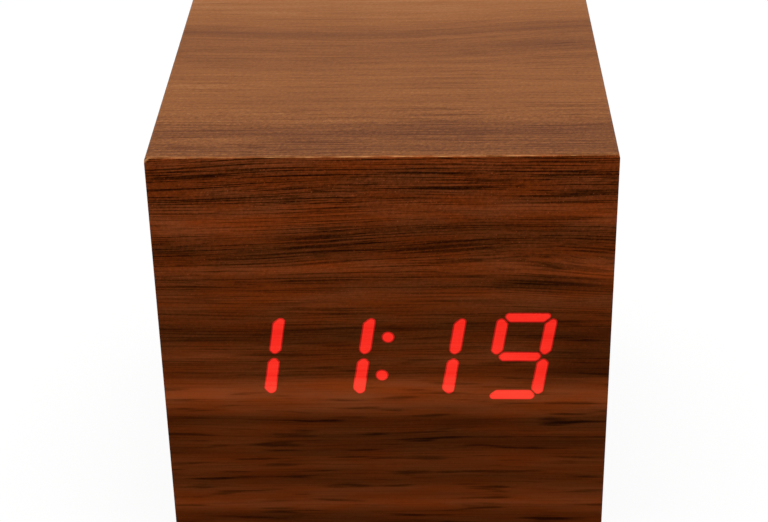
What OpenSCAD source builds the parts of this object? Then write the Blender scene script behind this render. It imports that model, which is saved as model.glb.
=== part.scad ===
// Cube digital clock: a veneered case, a red LED display that shines through the front veneer,
// and a back with push buttons, a slide switch, a power inlet and a battery bay.
// The origin is the centre of the base. +X is right as seen from the front, +Y back, +Z up.

/* [Case] */
// Side of the cube: the side panels take up what the inside leaves of it
case_size = 63.5; // [58:0.5:80]
// Thickness of the front veneer
veneer_t = 0.6; // [0.4:0.1:1]
// Thickness of the board behind the front veneer
core_t = 3; // [2.8:0.1:4]
// Radius of the folded edges
edge_r = 0.4; // [0.2:0.1:1]
// Thickness of the back panel
back_t = 3.2; // [2.8:0.1:4]
// Depth of the back panel below the case's rim
back_recess = 1.4; // [1.2:0.1:2.4]
// Side of a corner block
block_size = 7; // [6.4:0.1:8]
// Length of a corner block
block_depth = 10; // [9:0.5:16]

/* [Room inside the case] */
// Room between the battery tray and a side panel
side_room = 2.25; // [1:0.05:5]
// Width of the front panel beside the display
frame_w = 3; // [1.5:0.1:5]
// Room between the main board and a side panel
board_room = 1.65; // [0.5:0.05:4]
// Gap between a rear board and a tray ear
ear_gap = 0.5; // [0.3:0.05:2]
// Gap between a tray ear and a corner block
block_gap = 0.35; // [0.2:0.05:2]
// Gap between the lower row of pieces and the battery tray
tray_lift = 0.6; // [0.3:0.1:2]
// Gap between the battery tray and the button board
tray_room = 1.7; // [0.5:0.1:3]
// Gap between the button board and the top panel
button_room = 1.5; // [0.5:0.1:3]

/* [Time shown] */
// Hours on the display
shown_hours = 11; // [0:1:23]
// Minutes on the display
shown_minutes = 19; // [0:1:59]

/* [Display] */
// Length of the display block beyond the middle of its outer digits
display_end = 6.1; // [5.8:0.1:7]
// Height of the display block
display_h = 19; // [17.5:0.1:20]
// Depth of the display block
display_d = 8; // [7:0.1:9]
// Height of the display's centre above the middle of the front
display_rise = 0.55; // [0:0.05:1]
// Turn of the display block in the front, clockwise as seen from the front, in degrees
display_turn = 0.45; // [-1:0.05:1]
// Depth of the well that holds a segment
well_d = 3; // [2:0.1:4]
// Diameter of a display pin
pin_d = 0.5; // [0.4:0.05:0.7]
// Length of a display pin
pin_l = 3.4; // [2.6:0.1:4]
// Distance between neighbouring pins
pin_pitch = 2.54; // [2:0.02:2.8]
// Distance between the two rows of pins
pin_rows = 15.24; // [14.4:0.02:16]
// Number of pins in a row
pin_count = 6; // [4:1:7]

/* [Digits] */
// Distance between neighbouring digits
digit_pitch = 12.7; // [11.5:0.1:14]
// Distance between the left and right segments of a digit
digit_span = 6.8; // [6:0.1:7.4]
// Distance between neighbouring level segments
segment_rise = 6.4; // [5.6:0.05:7]
// Lean of the digits, in degrees
digit_slant = 8.2; // [0:0.2:10]
// Length by which an upright segment falls short of the rise
upright_gap = 0.65; // [0.4:0.05:1]
// Width of an upright segment
upright_w = 1.75; // [1.2:0.05:2]
// Length by which a level segment falls short of the span
level_gap = 0.8; // [0.4:0.05:1.2]
// Width of a level segment
level_w = 1.55; // [1:0.05:1.8]
// Radius of a segment's corners
segment_r = 0.6; // [0.1:0.02:0.7]
// Shift of a segment's point to the outside, where the segment ends at a corner of the digit
point_shift = 0.2; // [0:0.02:0.3]
// Diameter of a colon dot
colon_d = 1.8; // [1:0.05:2]
// Height of a colon dot above or below the display's centre
colon_rise = 3.15; // [2:0.05:4]

/* [Main board] */
// Thickness of a circuit board
board_t = 1.6; // [1:0.1:2]
// Width of the main board
main_board_w = 53; // [47:0.5:59]
// Height of the main board
main_board_h = 34; // [30:0.5:38]
// Distance from a board's edge to its screws
board_screw_inset = 3; // [2.6:0.1:3.4]
// Length of the clock chip
chip_l = 17.9; // [17.4:0.1:19.5]
// Width of the clock chip's body
chip_w = 7.5; // [7:0.1:8]
// Height of the clock chip's body above its standoff
chip_h = 2.4; // [1.8:0.1:3]
// Gap between the chip's body and the board
chip_standoff = 0.2; // [0.1:0.05:0.4]
// Leads on each side of the chip
chip_leads_per_side = 14; // [8:1:14]
// Distance between neighbouring chip leads
chip_lead_pitch = 1.27; // [1:0.01:1.27]
// Reach of a chip lead beyond the body
chip_lead_reach = 1.4; // [1:0.1:1.6]
// Diameter of the crystal's can
crystal_d = 2.1; // [1.6:0.1:3]
// Length of the crystal's can
crystal_l = 6.2; // [5:0.1:8]
// Diameter of the buzzer
buzzer_d = 12; // [9:0.5:13]
// Height of the buzzer
buzzer_h = 7.5; // [5:0.5:9]
// Diameter of the buzzer's sound hole
buzzer_hole_d = 2; // [1:0.1:3]
// Diameter of the capacitor
capacitor_d = 5; // [4:0.1:6.5]
// Height of the capacitor
capacitor_h = 7; // [5:0.5:9]
// Length of a lead socket
socket_l = 7; // [6:0.1:8]
// Width of a lead socket
socket_w = 4.6; // [4:0.1:5]
// Height of a lead socket
socket_h = 5; // [4:0.1:6]
// Width of a chip lead
chip_lead_w = 0.4; // [0.3:0.05:0.5]
// Thickness of a chip lead
chip_lead_t = 0.2; // [0.1:0.05:0.3]
// Distance of the crystal from the chip
crystal_gap = 4.5; // [3:0.1:5]
// Gap between the buzzer and the chip
buzzer_gap = 1.55; // [0.5:0.05:3]
// Distance of the buzzer's middle from the board's top edge
buzzer_inset_z = 11; // [9:0.5:13]
// Distance of the capacitor's middle from the board's right edge
capacitor_inset_x = 10.5; // [8:0.5:11]
// Distance of the capacitor's middle from the board's bottom edge
capacitor_inset_z = 8.5; // [7:0.5:9]
// Distance of a socket's middle from the board's top or bottom edge
socket_inset_z = 4.5; // [3:0.1:5]
// Distance of the battery socket's middle from the board's left edge
socket_inset_x = 11.5; // [10:0.1:13]
// Distance of the control socket's middle from the board's middle
control_socket_x = 4; // [0:0.5:6]

/* [Battery bay] */
// Number of cells
cell_count = 3; // [2:1:3]
// Diameter of a cell
cell_d = 10.5; // [9.5:0.1:11.5]
// Length of a cell over its button
cell_l = 44.5; // [40:0.1:49]
// Diameter of a cell's button
nub_d = 3.8; // [3:0.1:4.4]
// Height of a cell's button
nub_h = 1; // [0.8:0.1:1.2]
// Gap between neighbouring cells
cell_gap = 0.4; // [0.2:0.1:0.5]
// Wall of the battery tray
tray_wall = 1.4; // [1.2:0.1:1.8]
// Thickness of the roof over the ends of the bay
roof_t = 0.6; // [0.4:0.1:1]
// Width of a rib between cells
rib_w = 1; // [0.6:0.1:1.2]
// Height of a rib between cells
rib_h = 2.5; // [1:0.1:3]
// Width of a tray ear
ear_w = 4.6; // [4.2:0.1:4.8]
// Height of a tray ear
ear_h = 4.8; // [4.2:0.1:5]
// Thickness of a tray ear
ear_t = 2; // [1.4:0.1:3]
// Thickness of a contact plate
plate_t = 0.4; // [0.3:0.05:0.6]
// Width of a contact plate
plate_w = 8.6; // [7:0.1:9.6]
// Width of a terminal tab
tab_w = 2; // [1.4:0.1:3]
// Length of a terminal tab outside the tray
tab_l = 2.5; // [1.5:0.1:4]
// Length of a contact spring in place
spring_l = 3.6; // [3.4:0.1:4]
// Wire diameter of a contact spring
spring_wire_d = 0.4; // [0.3:0.05:0.45]
// Gap between a contact spring and the roof of the bay
spring_roof_gap = 0.2; // [0.1:0.05:0.6]
// Diameter of a contact spring at the cell
spring_tip_d = 4; // [3:0.1:4.4]
// Turns of a contact spring
spring_turns = 3; // [2:1:3]

/* [Battery door] */
// Thickness of the battery door
door_t = 1.6; // [1.4:0.1:2]
// Gap round the battery door
door_gap = 0.2; // [0.15:0.05:0.3]
// Width of the ledge that the door lies on
ledge_w = 1; // [0.6:0.1:1.4]
// Thickness of the ledge that the door lies on
ledge_t = 1; // [0.6:0.1:1.2]
// Diameter of a door hinge pin
hinge_pin_d = 1.1; // [0.8:0.1:1.3]
// Length of a door hinge pin beyond the door
hinge_pin_l = 1.1; // [0.8:0.1:1.2]
// Width of the latch tongue
tongue_w = 11; // [8:0.5:16]
// Length of the latch tongue
tongue_l = 8; // [6:0.5:12]
// Width of the cuts beside the latch tongue
tongue_cut = 0.7; // [0.4:0.1:1]
// Height of the nose on the latch tongue
latch_nose = 0.12; // [0.05:0.01:0.13]
// Number of thumb ridges
ridge_count = 4; // [2:1:4]
// Height of a thumb ridge
ridge_h = 0.35; // [0.2:0.05:0.6]
// Width of a thumb ridge
ridge_w = 0.6; // [0.4:0.05:0.7]
// Distance between neighbouring thumb ridges
ridge_pitch = 1.4; // [1.1:0.1:1.5]

/* [Buttons] */
// Diameter of a button
button_d = 5.4; // [4.6:0.1:5.6]
// Distance between neighbouring buttons
button_pitch = 11; // [9.8:0.1:12.5]
// Height of a button above the back panel
button_proud = 0.9; // [0.7:0.1:1.1]
// Travel of a button
button_travel = 0.5; // [0.2:0.05:0.6]
// Width of a button's flange
flange_w = 0.5; // [0.3:0.1:0.6]
// Thickness of a button's flange
flange_t = 1; // [0.8:0.1:1.4]
// Height of the sign on a button
sign_h = 0.2; // [0.1:0.05:0.3]
// Size of the sign on a button
sign_size = 2.6; // [2:0.1:3]
// Side of a push switch
tact_size = 6; // [5:0.1:6.2]
// Height of a push switch's body
tact_h = 3.5; // [3:0.1:4]
// Diameter of a push switch's plunger
plunger_d = 3.4; // [2.5:0.1:4]
// Height of a push switch's plunger above its body
plunger_h = 0.8; // [0.7:0.1:1.2]
// Depth of a push switch's plunger in its body
plunger_seat = 0.6; // [0.4:0.1:1]
// Height of the button board
button_board_h = 10; // [8:0.1:11]
// Length of the button board beyond its outer switches
board_margin = 1; // [0.4:0.1:2]

/* [Power inlet, microphone and switch] */
// Width of the control board above and below its tallest piece
control_edge = 0.1; // [0.05:0.05:0.5]
// Gap between the control board and the bottom panel
control_lift = 0.2; // [0.1:0.05:0.6]
// Gap between neighbouring pieces on the control board
control_gap = 1.3; // [0.4:0.1:2]
// Gap between a spacer and the piece beside it
spacer_gap = 0.4; // [0.2:0.05:1]
// Side of the power inlet's body
jack_body = 6; // [5.6:0.1:6.8]
// Diameter of the power inlet's nose
jack_nose_d = 5.2; // [4.8:0.1:5.4]
// Bore of the power inlet
jack_bore_d = 3.7; // [3.6:0.05:3.9]
// Depth of the power inlet's bore
jack_bore_l = 7.5; // [6:0.1:7.8]
// Diameter of the power inlet's centre pin
jack_pin_d = 1.3; // [1:0.05:1.4]
// Length of the power inlet's centre pin
jack_pin_l = 6.8; // [5:0.1:7]
// Place of the microphone from the middle
mic_x = 0.8; // [0.6:0.1:1]
// Diameter of the microphone
mic_d = 6; // [4:0.1:6.8]
// Height of the microphone
mic_h = 5; // [3:0.1:5.2]
// Diameter of the sound port in front of the microphone
mic_port_d = 1.6; // [1:0.1:2]
// Length of the slide switch's shell
switch_l = 8.4; // [7.6:0.1:9.4]
// Width of the slide switch's shell
switch_w = 4; // [3.6:0.1:4.4]
// Height of the slide switch's shell
switch_h = 3.5; // [3.2:0.1:4.4]
// Wall of the slide switch's shell
switch_wall = 0.5; // [0.4:0.05:0.6]
// Length of the slide switch's knob
knob_l = 2.4; // [2:0.1:2.6]
// Width of the slide switch's knob
knob_w = 1.8; // [1.4:0.1:2]
// Height of the knob above the back panel
knob_proud = 0.9; // [0.5:0.1:1.1]
// Length of the slider under the knob
slider_l = 4; // [3:0.1:4.4]
// Thickness of the slider under the knob
slider_t = 1; // [0.6:0.1:1.4]
// Travel of the slide switch
switch_travel = 2; // [1:0.1:2.2]

/* [Fasteners] */
// Diameter of a screw
screw_d = 2; // [1.6:0.1:2.2]
// Diameter of a screw's head
screw_head_d = 3.8; // [3.2:0.1:4]
// Height of a pan head
pan_h = 1.2; // [0.8:0.1:1.4]
// Height of a countersunk head
csk_h = 1.1; // [0.9:0.1:1.4]
// Length of a back screw
back_screw_l = 10; // [8:0.5:11]
// Bite of a screw in a panel
screw_bite = 2.2; // [1.6:0.1:2.4]
// Length of a screw's cross recess
recess_l = 2.2; // [1.6:0.1:2.6]
// Width of a screw's cross recess
recess_w = 0.5; // [0.3:0.1:0.7]
// Depth of a screw's cross recess
recess_d = 0.5; // [0.3:0.1:0.7]
// Outer diameter of a spacer
spacer_d = 3.4; // [3:0.1:3.6]

/* [Leads] */
// Diameter of a battery lead
lead_d = 1.2; // [0.8:0.1:1.4]
// Width of a ribbon lead
ribbon_w = 5; // [3:0.5:6]
// Thickness of a ribbon lead
ribbon_t = 0.9; // [0.6:0.1:1.2]
// Straight length at each end of a lead
lead_stub = 3; // [2:0.5:6]
// Sag of a battery lead
lead_sag = 3; // [0:0.5:6]
// Distance between the two battery leads at their socket
lead_spacing = 2.2; // [1.8:0.1:3]

/* [Fits] */
// Gap round a glued or fixed piece
fit_gap = 0.1; // [0.05:0.01:0.15]
// Gap round a segment in its window
window_gap = 0.03; // [0.02:0.01:0.06]
// Gap round a pin, plunger or screw
running_gap = 0.05; // [0.03:0.01:0.1]

/* [Hidden] */
$fn = 48;
// A cut runs this far past the face that it opens
over = 1;

// Sizes of what the case holds
display_w = 3 * digit_pitch + 2 * display_end;
upright_l = segment_rise - upright_gap;
level_l = digit_span - level_gap;
button_board_w = 2 * button_pitch + tact_size + 2 * board_margin;
jack_x = mic_x + mic_d / 2 + control_gap + jack_body / 2;
switch_x = mic_x - mic_d / 2 - control_gap - switch_l / 2;
knob_x = switch_x - switch_travel / 2;
control_spacer_x = max(jack_x + jack_body / 2, switch_l / 2 - switch_x) + spacer_gap + spacer_d / 2;
control_board_w = 2 * control_spacer_x + spacer_d;
control_board_h = max(jack_body, mic_d, switch_w) + 2 * control_edge;
ear_x = max(button_board_w, control_board_w) / 2 + ear_gap + ear_w / 2;
cell_pitch = cell_d + cell_gap;
bay_l = cell_l + spring_l + 2 * plate_t + fit_gap;
bay_h = cell_count * cell_pitch;
opening_w = bay_l - 2 * (plate_t + nub_h) + 2 * door_gap;
tray_w = bay_l + 2 * tray_wall;
tray_h = bay_h + 2 * tray_wall;
collar_w = opening_w + 2 * tray_wall;
lower_row_h = max(block_size, control_board_h + control_lift);

// Inside of the case: the widest row or tallest column of what it holds
inner = max(
    tray_w + 2 * side_room,
    display_w + 2 * frame_w,
    main_board_w + 2 * board_room,
    2 * (ear_x + ear_w / 2 + block_gap + block_size),
    lower_row_h + tray_lift + tray_h + tray_room + button_board_h + button_room
);
panel_t = (case_size - inner) / 2;

// Planes from front to back
half = case_size / 2;
front_y = -half;
veneer_y = front_y + veneer_t;
core_y = veneer_y + core_t;
display_back_y = veneer_y + display_d;
board_back_y = display_back_y + board_t;
back_face_y = half - back_recess;
back_inner_y = back_face_y - back_t;
plunger_y = back_inner_y - fit_gap - flange_t;
tact_y = plunger_y - plunger_h;
rear_board_y = tact_y - tact_h;
rear_board_front_y = rear_board_y - board_t;

// Heights of the rows
display_z = half + display_rise;
button_z = case_size - panel_t - button_room - button_board_h / 2;
control_z = panel_t + control_lift + control_board_h / 2;
tray_z = panel_t + lower_row_h + tray_lift + tray_h / 2;

// Battery bay
door_inner_y = back_face_y - door_t;
cell_y = door_inner_y - door_gap - cell_d / 2;
roof_y = back_inner_y - roof_t;
spring_base_d = 2 * (roof_y - cell_y - spring_roof_gap);
tray_floor_y = cell_y - cell_d / 2 - fit_gap;
tray_under_y = tray_floor_y - tray_wall;
tab_end_y = tray_under_y - tab_l;
door_axis_y = back_face_y - door_t / 2;
door_axis_z = tray_z - bay_h / 2 + door_gap + door_t / 2;
door_top_z = tray_z + bay_h / 2 - door_gap;
door_w = opening_w - 2 * door_gap;
function cell_z(i) = tray_z + (i - (cell_count - 1) / 2) * cell_pitch;
// The button of a cell points left (-1) or right (+1), turn about
function cell_end(i) = i % 2 == 0 ? -1 : 1;

// Places of the fasteners
block_screw = inner / 2 - block_size / 2;
BLOCK_SPOTS = [for (x = [-1, 1], z = [-1, 1]) [x * block_screw, half + z * block_screw]];
BOARD_SPOTS = [
    for (x = [-1, 1], z = [-1, 1])
        [x * (main_board_w / 2 - board_screw_inset), display_z + z * (main_board_h / 2 - board_screw_inset)]
];
TRAY_SPOTS = [for (x = [-1, 1], z = [-1, 1]) [x * ear_x, tray_z + z * (tray_h + ear_h) / 2]];
BUTTON_SPACER_SPOTS = [for (x = [-1, 1]) [x * button_pitch / 2, button_z]];
CONTROL_SPACER_SPOTS = [for (x = [-1, 1]) [x * control_spacer_x, control_z]];
REAR_SPACER_SPOTS = concat(BUTTON_SPACER_SPOTS, CONTROL_SPACER_SPOTS);

// Places of the parts on the main board
board_left = -main_board_w / 2;
board_top = display_z + main_board_h / 2;
board_bottom = display_z - main_board_h / 2;
BUZZER_SPOT = [-(chip_l + buzzer_d) / 2 - buzzer_gap, board_top - buzzer_inset_z];
CAPACITOR_SPOT = [-board_left - capacitor_inset_x, board_bottom + capacitor_inset_z];
CRYSTAL_SPOT = [chip_l / 2 + crystal_gap, display_z];
BATTERY_SOCKET_SPOT = [board_left + socket_inset_x, board_bottom + socket_inset_z];
BUTTON_SOCKET_SPOT = [0, board_top - socket_inset_z];
CONTROL_SOCKET_SPOT = [control_socket_x, board_bottom + socket_inset_z];
SOCKET_SPOTS = [BATTERY_SOCKET_SPOT, BUTTON_SOCKET_SPOT, CONTROL_SOCKET_SPOT];
socket_y = board_back_y + socket_h;

// Ends of the battery leads: a terminal tab of the bay and the battery socket
tab_x = bay_l / 2 - plate_t / 2;
RED_TAB = [cell_end(0) * tab_x, tab_end_y, cell_z(0)];
BLACK_TAB = [-cell_end(cell_count - 1) * tab_x, tab_end_y, cell_z(cell_count - 1)];
RED_SOCKET = [BATTERY_SOCKET_SPOT.x - lead_spacing / 2, socket_y, BATTERY_SOCKET_SPOT.y];
BLACK_SOCKET = RED_SOCKET + [lead_spacing, 0, 0];

// Colours
WALNUT = "#5b2a13";
FIBREBOARD = "#a98258";
PINE = "#cfa873";
BLACK_PLASTIC = "#1b1a1a";
LIT_RED = "#ff2a1c";
DARK_RED = "#3a0d0a";
BOARD_GREEN = "#1e5a34";
STEEL = "#c3c5c7";
BRASS = "#c9a54e";
NYLON = "#e6e2d6";

// Places of the segments in a digit, as shares of its span and rise, with 1 for an upright
SEGMENTS = [
    ["a", 0, 1, 0], ["b", 0.5, 0.5, 1], ["c", 0.5, -0.5, 1], ["d", 0, -1, 0],
    ["e", -0.5, -0.5, 1], ["f", -0.5, 0.5, 1], ["g", 0, 0, 0]
];
// Segments that light for each figure from 0 to 9
FIGURES = [
    "abcdef", "bc", "abdeg", "abcdg", "bcfg", "acdfg", "acdefg", "abc", "abcdefg", "abcdfg"
];
SHOWN = [floor(shown_hours / 10), shown_hours % 10, floor(shown_minutes / 10), shown_minutes % 10];
function is_lit(digit, segment) = len(search(segment[0], FIGURES[SHOWN[digit]])) > 0;
function digit_x(digit) = (digit - 1.5) * digit_pitch;

// A convex outline with its corners rounded: points are counter-clockwise arc centres
corner_steps = 3;
function edge_angle(from, to) = atan2(to.y - from.y, to.x - from.x);
function rounded(points, r) = let (n = len(points)) [
    for (i = [0 : n - 1])
        let (
            start = edge_angle(points[(i + n - 1) % n], points[i]) - 90,
            turn = (edge_angle(points[i], points[(i + 1) % n]) - 90 - start + 720) % 360
        )
        for (j = [0 : corner_steps])
            points[i] + r * [cos(start + turn * j / corner_steps), sin(start + turn * j / corner_steps)]
];
function rectangle(w, h) = [[w / 2, -h / 2], [w / 2, h / 2], [-w / 2, h / 2], [-w / 2, -h / 2]];
// Least flat that the rounding leaves beside a segment's point
least_flat = 0.05;
// A level bar with pointed ends, grown by a gap. The point at its left or right end lies above the middle
// by the shift that is given for that end.
function bar(l, w, left_shift, right_shift, gap) =
    let (
        r = min(segment_r, w / 2 - point_shift - least_flat),
        x = l / 2 - r,
        z = w / 2 - r
    )
    rounded([
        [x - z, -z], [x + right_shift, right_shift], [x - z + 2 * right_shift, z],
        [z - x - 2 * left_shift, z], [-x - left_shift, left_shift], [z - x, -z]
    ], r + gap);
// A segment's outline from the display's centre, leaning with the digit. The bar's upper side is turned to
// the outside of the digit.
function segment_outline(digit, segment, gap) =
    let (
        upright = segment[3] == 1,
        out = sign(upright ? segment[1] : segment[2]),
        level_shift = abs(out) * point_shift,
        low_shift = segment[2] < 0 ? point_shift : 0,
        bar_points = upright ? bar(upright_l, upright_w, low_shift, point_shift - low_shift, gap)
                             : bar(level_l, level_w, level_shift, level_shift, gap)
    ) [
        for (p = bar_points)
            let (
                y = out < 0 ? -p.y : p.y,
                x = segment[1] * digit_span + (upright ? y : p.x),
                z = segment[2] * segment_rise + (upright ? p.x : y)
            )
            [digit_x(digit) + x + z * tan(digit_slant), z]
    ];

// Vector and sweep functions for wires
function unit(v) = v / norm(v);
function path_tangents(path) = let (last = len(path) - 1) [
    for (i = [0 : last]) unit(path[min(i + 1, last)] - path[max(i - 1, 0)])
];
function path_normals(tangents, normal, i = 0) =
    i == len(tangents) ? [] :
    let (n = unit(normal - (normal * tangents[i]) * tangents[i]))
        concat([n], path_normals(tangents, n, i + 1));
// A lead from back to front: a straight end along Y, a smooth sideways curve that sags, and a straight end
lead_steps = 20;
function ease(t) = t * t * (3 - 2 * t);
function lead_path(back, front, sag) = let (run = front - back + [0, 2 * lead_stub, 0]) concat(
    [back],
    [
        for (i = [0 : lead_steps])
            let (t = i / lead_steps, drop = sag * pow(4 * t * (1 - t), 2))
            back + [run.x * ease(t), run.y * t - lead_stub, run.z * ease(t) - drop]
    ],
    [front]
);
// A contact spring's wire: a short straight end, a tapering coil, and a straight end
coil_rings = 8;
function spring_path() = let (
    rings = spring_turns * coil_rings,
    coil_l = spring_l - 2 * spring_wire_d,
    base_r = (spring_base_d - spring_wire_d) / 2,
    tip_r = (spring_tip_d - spring_wire_d) / 2
) concat(
    [[0, base_r, 0]],
    [
        for (i = [0 : rings])
            let (s = i / rings, r = base_r + (tip_r - base_r) * s, a = 360 * spring_turns * s)
            [spring_wire_d + coil_l * s, r * cos(a), r * sin(a)]
    ],
    [[spring_l, tip_r, 0]]
);
// Least gap between the wire and its next turn, measured on the coil's points
function spring_gap() = let (path = spring_path()) min([
    for (i = [1 : len(path) - 2 - coil_rings], j = [i + coil_rings - 1 : len(path) - 2])
        norm(path[i] - path[j])
]) - spring_wire_d;
echo(least_spring_gap = spring_gap());

// Basic shapes in the clock's own directions
module at(spot) { translate([spot.x, 0, spot.y]) children(); }
module along_y(y0, y1) { translate([0, y1, 0]) rotate([90, 0, 0]) linear_extrude(y1 - y0) children(); }
module along_x(x0, x1) {
    translate([x0, 0, 0]) rotate([90, 0, 90]) linear_extrude(x1 - x0) children();
}
module rod_y(d, y0, y1) { translate([0, y1, 0]) rotate([90, 0, 0]) cylinder(d = d, h = y1 - y0); }
module rod_x(d, x0, x1) { translate([x0, 0, 0]) rotate([0, 90, 0]) cylinder(d = d, h = x1 - x0); }
module box_y(w, h, y0, y1) { translate([-w / 2, y0, -h / 2]) cube([w, y1 - y0, h]); }
module ring_y(d, bore, y0, y1) {
    difference() {
        rod_y(d, y0, y1);
        rod_y(bore, y0 - over, y1 + over);
    }
}
// A round wire along a path
module wire(path, d, sides, normal) {
    tangents = path_tangents(path);
    normals = path_normals(tangents, normal);
    rings = len(path);
    polyhedron(
        points = [
            for (i = [0 : rings - 1], j = [0 : sides - 1])
                let (a = 360 * j / sides)
                path[i] + d / 2 * (cos(a) * normals[i] + sin(a) * cross(tangents[i], normals[i]))
        ],
        faces = concat(
            [for (j = [1 : sides - 2]) [0, j, j + 1]],
            [
                for (i = [0 : rings - 2], j = [0 : sides - 1], k = [0, 1])
                    let (a = i * sides + j, b = i * sides + (j + 1) % sides)
                    k == 0 ? [a, a + sides, b] : [b, a + sides, b + sides]
            ],
            [for (j = [1 : sides - 2]) (rings - 1) * sides * [1, 1, 1] + [0, j + 1, j]]
        )
    );
}
// A flat ribbon between a socket and a rear board
module ribbon(socket_spot, board_z) {
    path = [
        for (p = lead_path([0, rear_board_front_y, board_z], [0, socket_y, socket_spot.y], 0)) [p.y, p.z]
    ];
    tangents = path_tangents(path);
    offsets = [for (t = tangents) ribbon_t / 2 * [-t.y, t.x]];
    last = len(path) - 1;
    along_x(socket_spot.x - ribbon_w / 2, socket_spot.x + ribbon_w / 2) polygon(concat(
        [for (i = [0 : last]) path[i] + offsets[i]],
        [for (i = [0 : last]) path[last - i] - offsets[last - i]]
    ));
}
module cross_recess(y0, y1) {
    for (turn = [0, 90])
        rotate([0, turn, 0]) box_y(recess_l, recess_w, y0, y1);
}
// A pan-head screw whose head sits below y = 0 and whose shank points along +Y
module pan_screw(shank) {
    difference() {
        union() {
            rod_y(screw_head_d, -pan_h, 0);
            rod_y(screw_d, -pan_h / 2, shank);
        }
        cross_recess(-pan_h - over, recess_d - pan_h);
    }
}
module countersink(gap, depth) {
    rotate([90, 0, 0]) cylinder(d1 = screw_head_d + 2 * gap, d2 = screw_d + 2 * gap, h = csk_h);
    rod_y(screw_d + 2 * gap, -depth, 0);
}

// Case
module case_outline() {
    translate([0, half]) polygon(rounded(rectangle(case_size - 2 * edge_r, case_size - 2 * edge_r), edge_r));
}
// One side of the folded case, mitred at both ends
module side_panel(turn) {
    inside = half - panel_t;
    bend = half - edge_r;
    bend_step = 15;
    color(WALNUT) along_y(veneer_y, half) translate([0, half]) rotate(turn) polygon(concat(
        [[inside, inside]],
        [for (a = [45 : bend_step : 90]) [bend + edge_r * cos(a), bend + edge_r * sin(a)]],
        [for (a = [90 : bend_step : 135]) [-bend + edge_r * cos(a), bend + edge_r * sin(a)]],
        [[-inside, inside]]
    ));
}
module front_veneer() {
    color(WALNUT) difference() {
        along_y(front_y, veneer_y) case_outline();
        in_display() {
            segments(true, front_y - over, veneer_y + over, window_gap);
            colon(front_y - over, veneer_y + over, window_gap);
        }
    }
}
module front_panel() {
    color(FIBREBOARD) difference() {
        at([0, half]) box_y(inner - 2 * fit_gap, inner - 2 * fit_gap, veneer_y, core_y);
        in_display()
            box_y(display_w + 2 * fit_gap, display_h + 2 * fit_gap, veneer_y - over, core_y + over);
        for (spot = BOARD_SPOTS)
            at(spot) rod_y(screw_d + 2 * running_gap, core_y - screw_bite - fit_gap, core_y + over);
    }
}
module back_panel() {
    color(WALNUT) difference() {
        at([0, half]) box_y(inner - 2 * fit_gap, inner - 2 * fit_gap, back_inner_y, back_face_y);
        at([0, tray_z]) box_y(
            collar_w + 2 * fit_gap, tray_h + 2 * fit_gap, back_inner_y - over, back_face_y + over
        );
        for (i = [-1 : 1])
            at([i * button_pitch, button_z])
                rod_y(button_d + 2 * fit_gap, back_inner_y - over, back_face_y + over);
        at([jack_x, control_z])
            rod_y(jack_nose_d + 2 * fit_gap, back_inner_y - over, back_face_y + over);
        at([mic_x, control_z]) rod_y(mic_port_d, back_inner_y - over, back_face_y + over);
        at([switch_x, control_z]) box_y(
            knob_l + switch_travel + 4 * fit_gap, knob_w + 4 * fit_gap,
            back_inner_y - over, back_face_y + over
        );
        for (spot = BLOCK_SPOTS)
            at(spot) translate([0, back_face_y, 0]) countersink(running_gap, back_t + over);
        for (spot = concat(TRAY_SPOTS, REAR_SPACER_SPOTS))
            at(spot) rod_y(
                screw_d + 2 * running_gap, back_inner_y - over, back_inner_y + screw_bite + fit_gap
            );
    }
}
module corner_blocks() {
    color(PINE) for (spot = BLOCK_SPOTS)
        at(spot) difference() {
            box_y(block_size, block_size, back_inner_y - block_depth, back_inner_y);
            rod_y(
                screw_d + 2 * running_gap,
                back_face_y - back_screw_l - fit_gap, back_inner_y + over
            );
        }
}
module back_screws() {
    color(STEEL) for (spot = BLOCK_SPOTS)
        at(spot) translate([0, back_face_y, 0]) difference() {
            countersink(0, back_screw_l);
            cross_recess(-recess_d, over);
        }
}

// Display
// Puts what is drawn from the display's centre in its place in the case
module in_display() { at([0, display_z]) rotate([0, display_turn, 0]) children(); }
// The segments that are lit, or those that aren't
module segments(lit, y0, y1, gap) {
    for (digit = [0 : 3], segment = SEGMENTS)
        if (is_lit(digit, segment) == lit)
            along_y(y0, y1) polygon(segment_outline(digit, segment, gap));
}
module colon(y0, y1, gap) {
    for (side = [-1, 1])
        at([side * colon_rise * tan(digit_slant), side * colon_rise]) rod_y(colon_d + 2 * gap, y0, y1);
}
module display_housing() {
    color(BLACK_PLASTIC) in_display() difference() {
        box_y(display_w, display_h, veneer_y, display_back_y);
        for (lit = [false, true])
            segments(lit, veneer_y - over, veneer_y + well_d, window_gap);
        colon(veneer_y - over, veneer_y + well_d, window_gap);
    }
}
module lit_segments() { color(LIT_RED) in_display() segments(true, front_y, veneer_y + well_d, 0); }
module dark_segments() { color(DARK_RED) in_display() segments(false, veneer_y, veneer_y + well_d, 0); }
module colon_dots() { color(LIT_RED) in_display() colon(front_y, veneer_y + well_d, 0); }
module pin_rods(d, y0, y1) {
    in_display() for (row = [-1, 1], i = [0 : pin_count - 1])
        at([(i - (pin_count - 1) / 2) * pin_pitch, row * pin_rows / 2]) rod_y(d, y0, y1);
}
module display_pins() { color(STEEL) pin_rods(pin_d, display_back_y, display_back_y + pin_l); }

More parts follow.
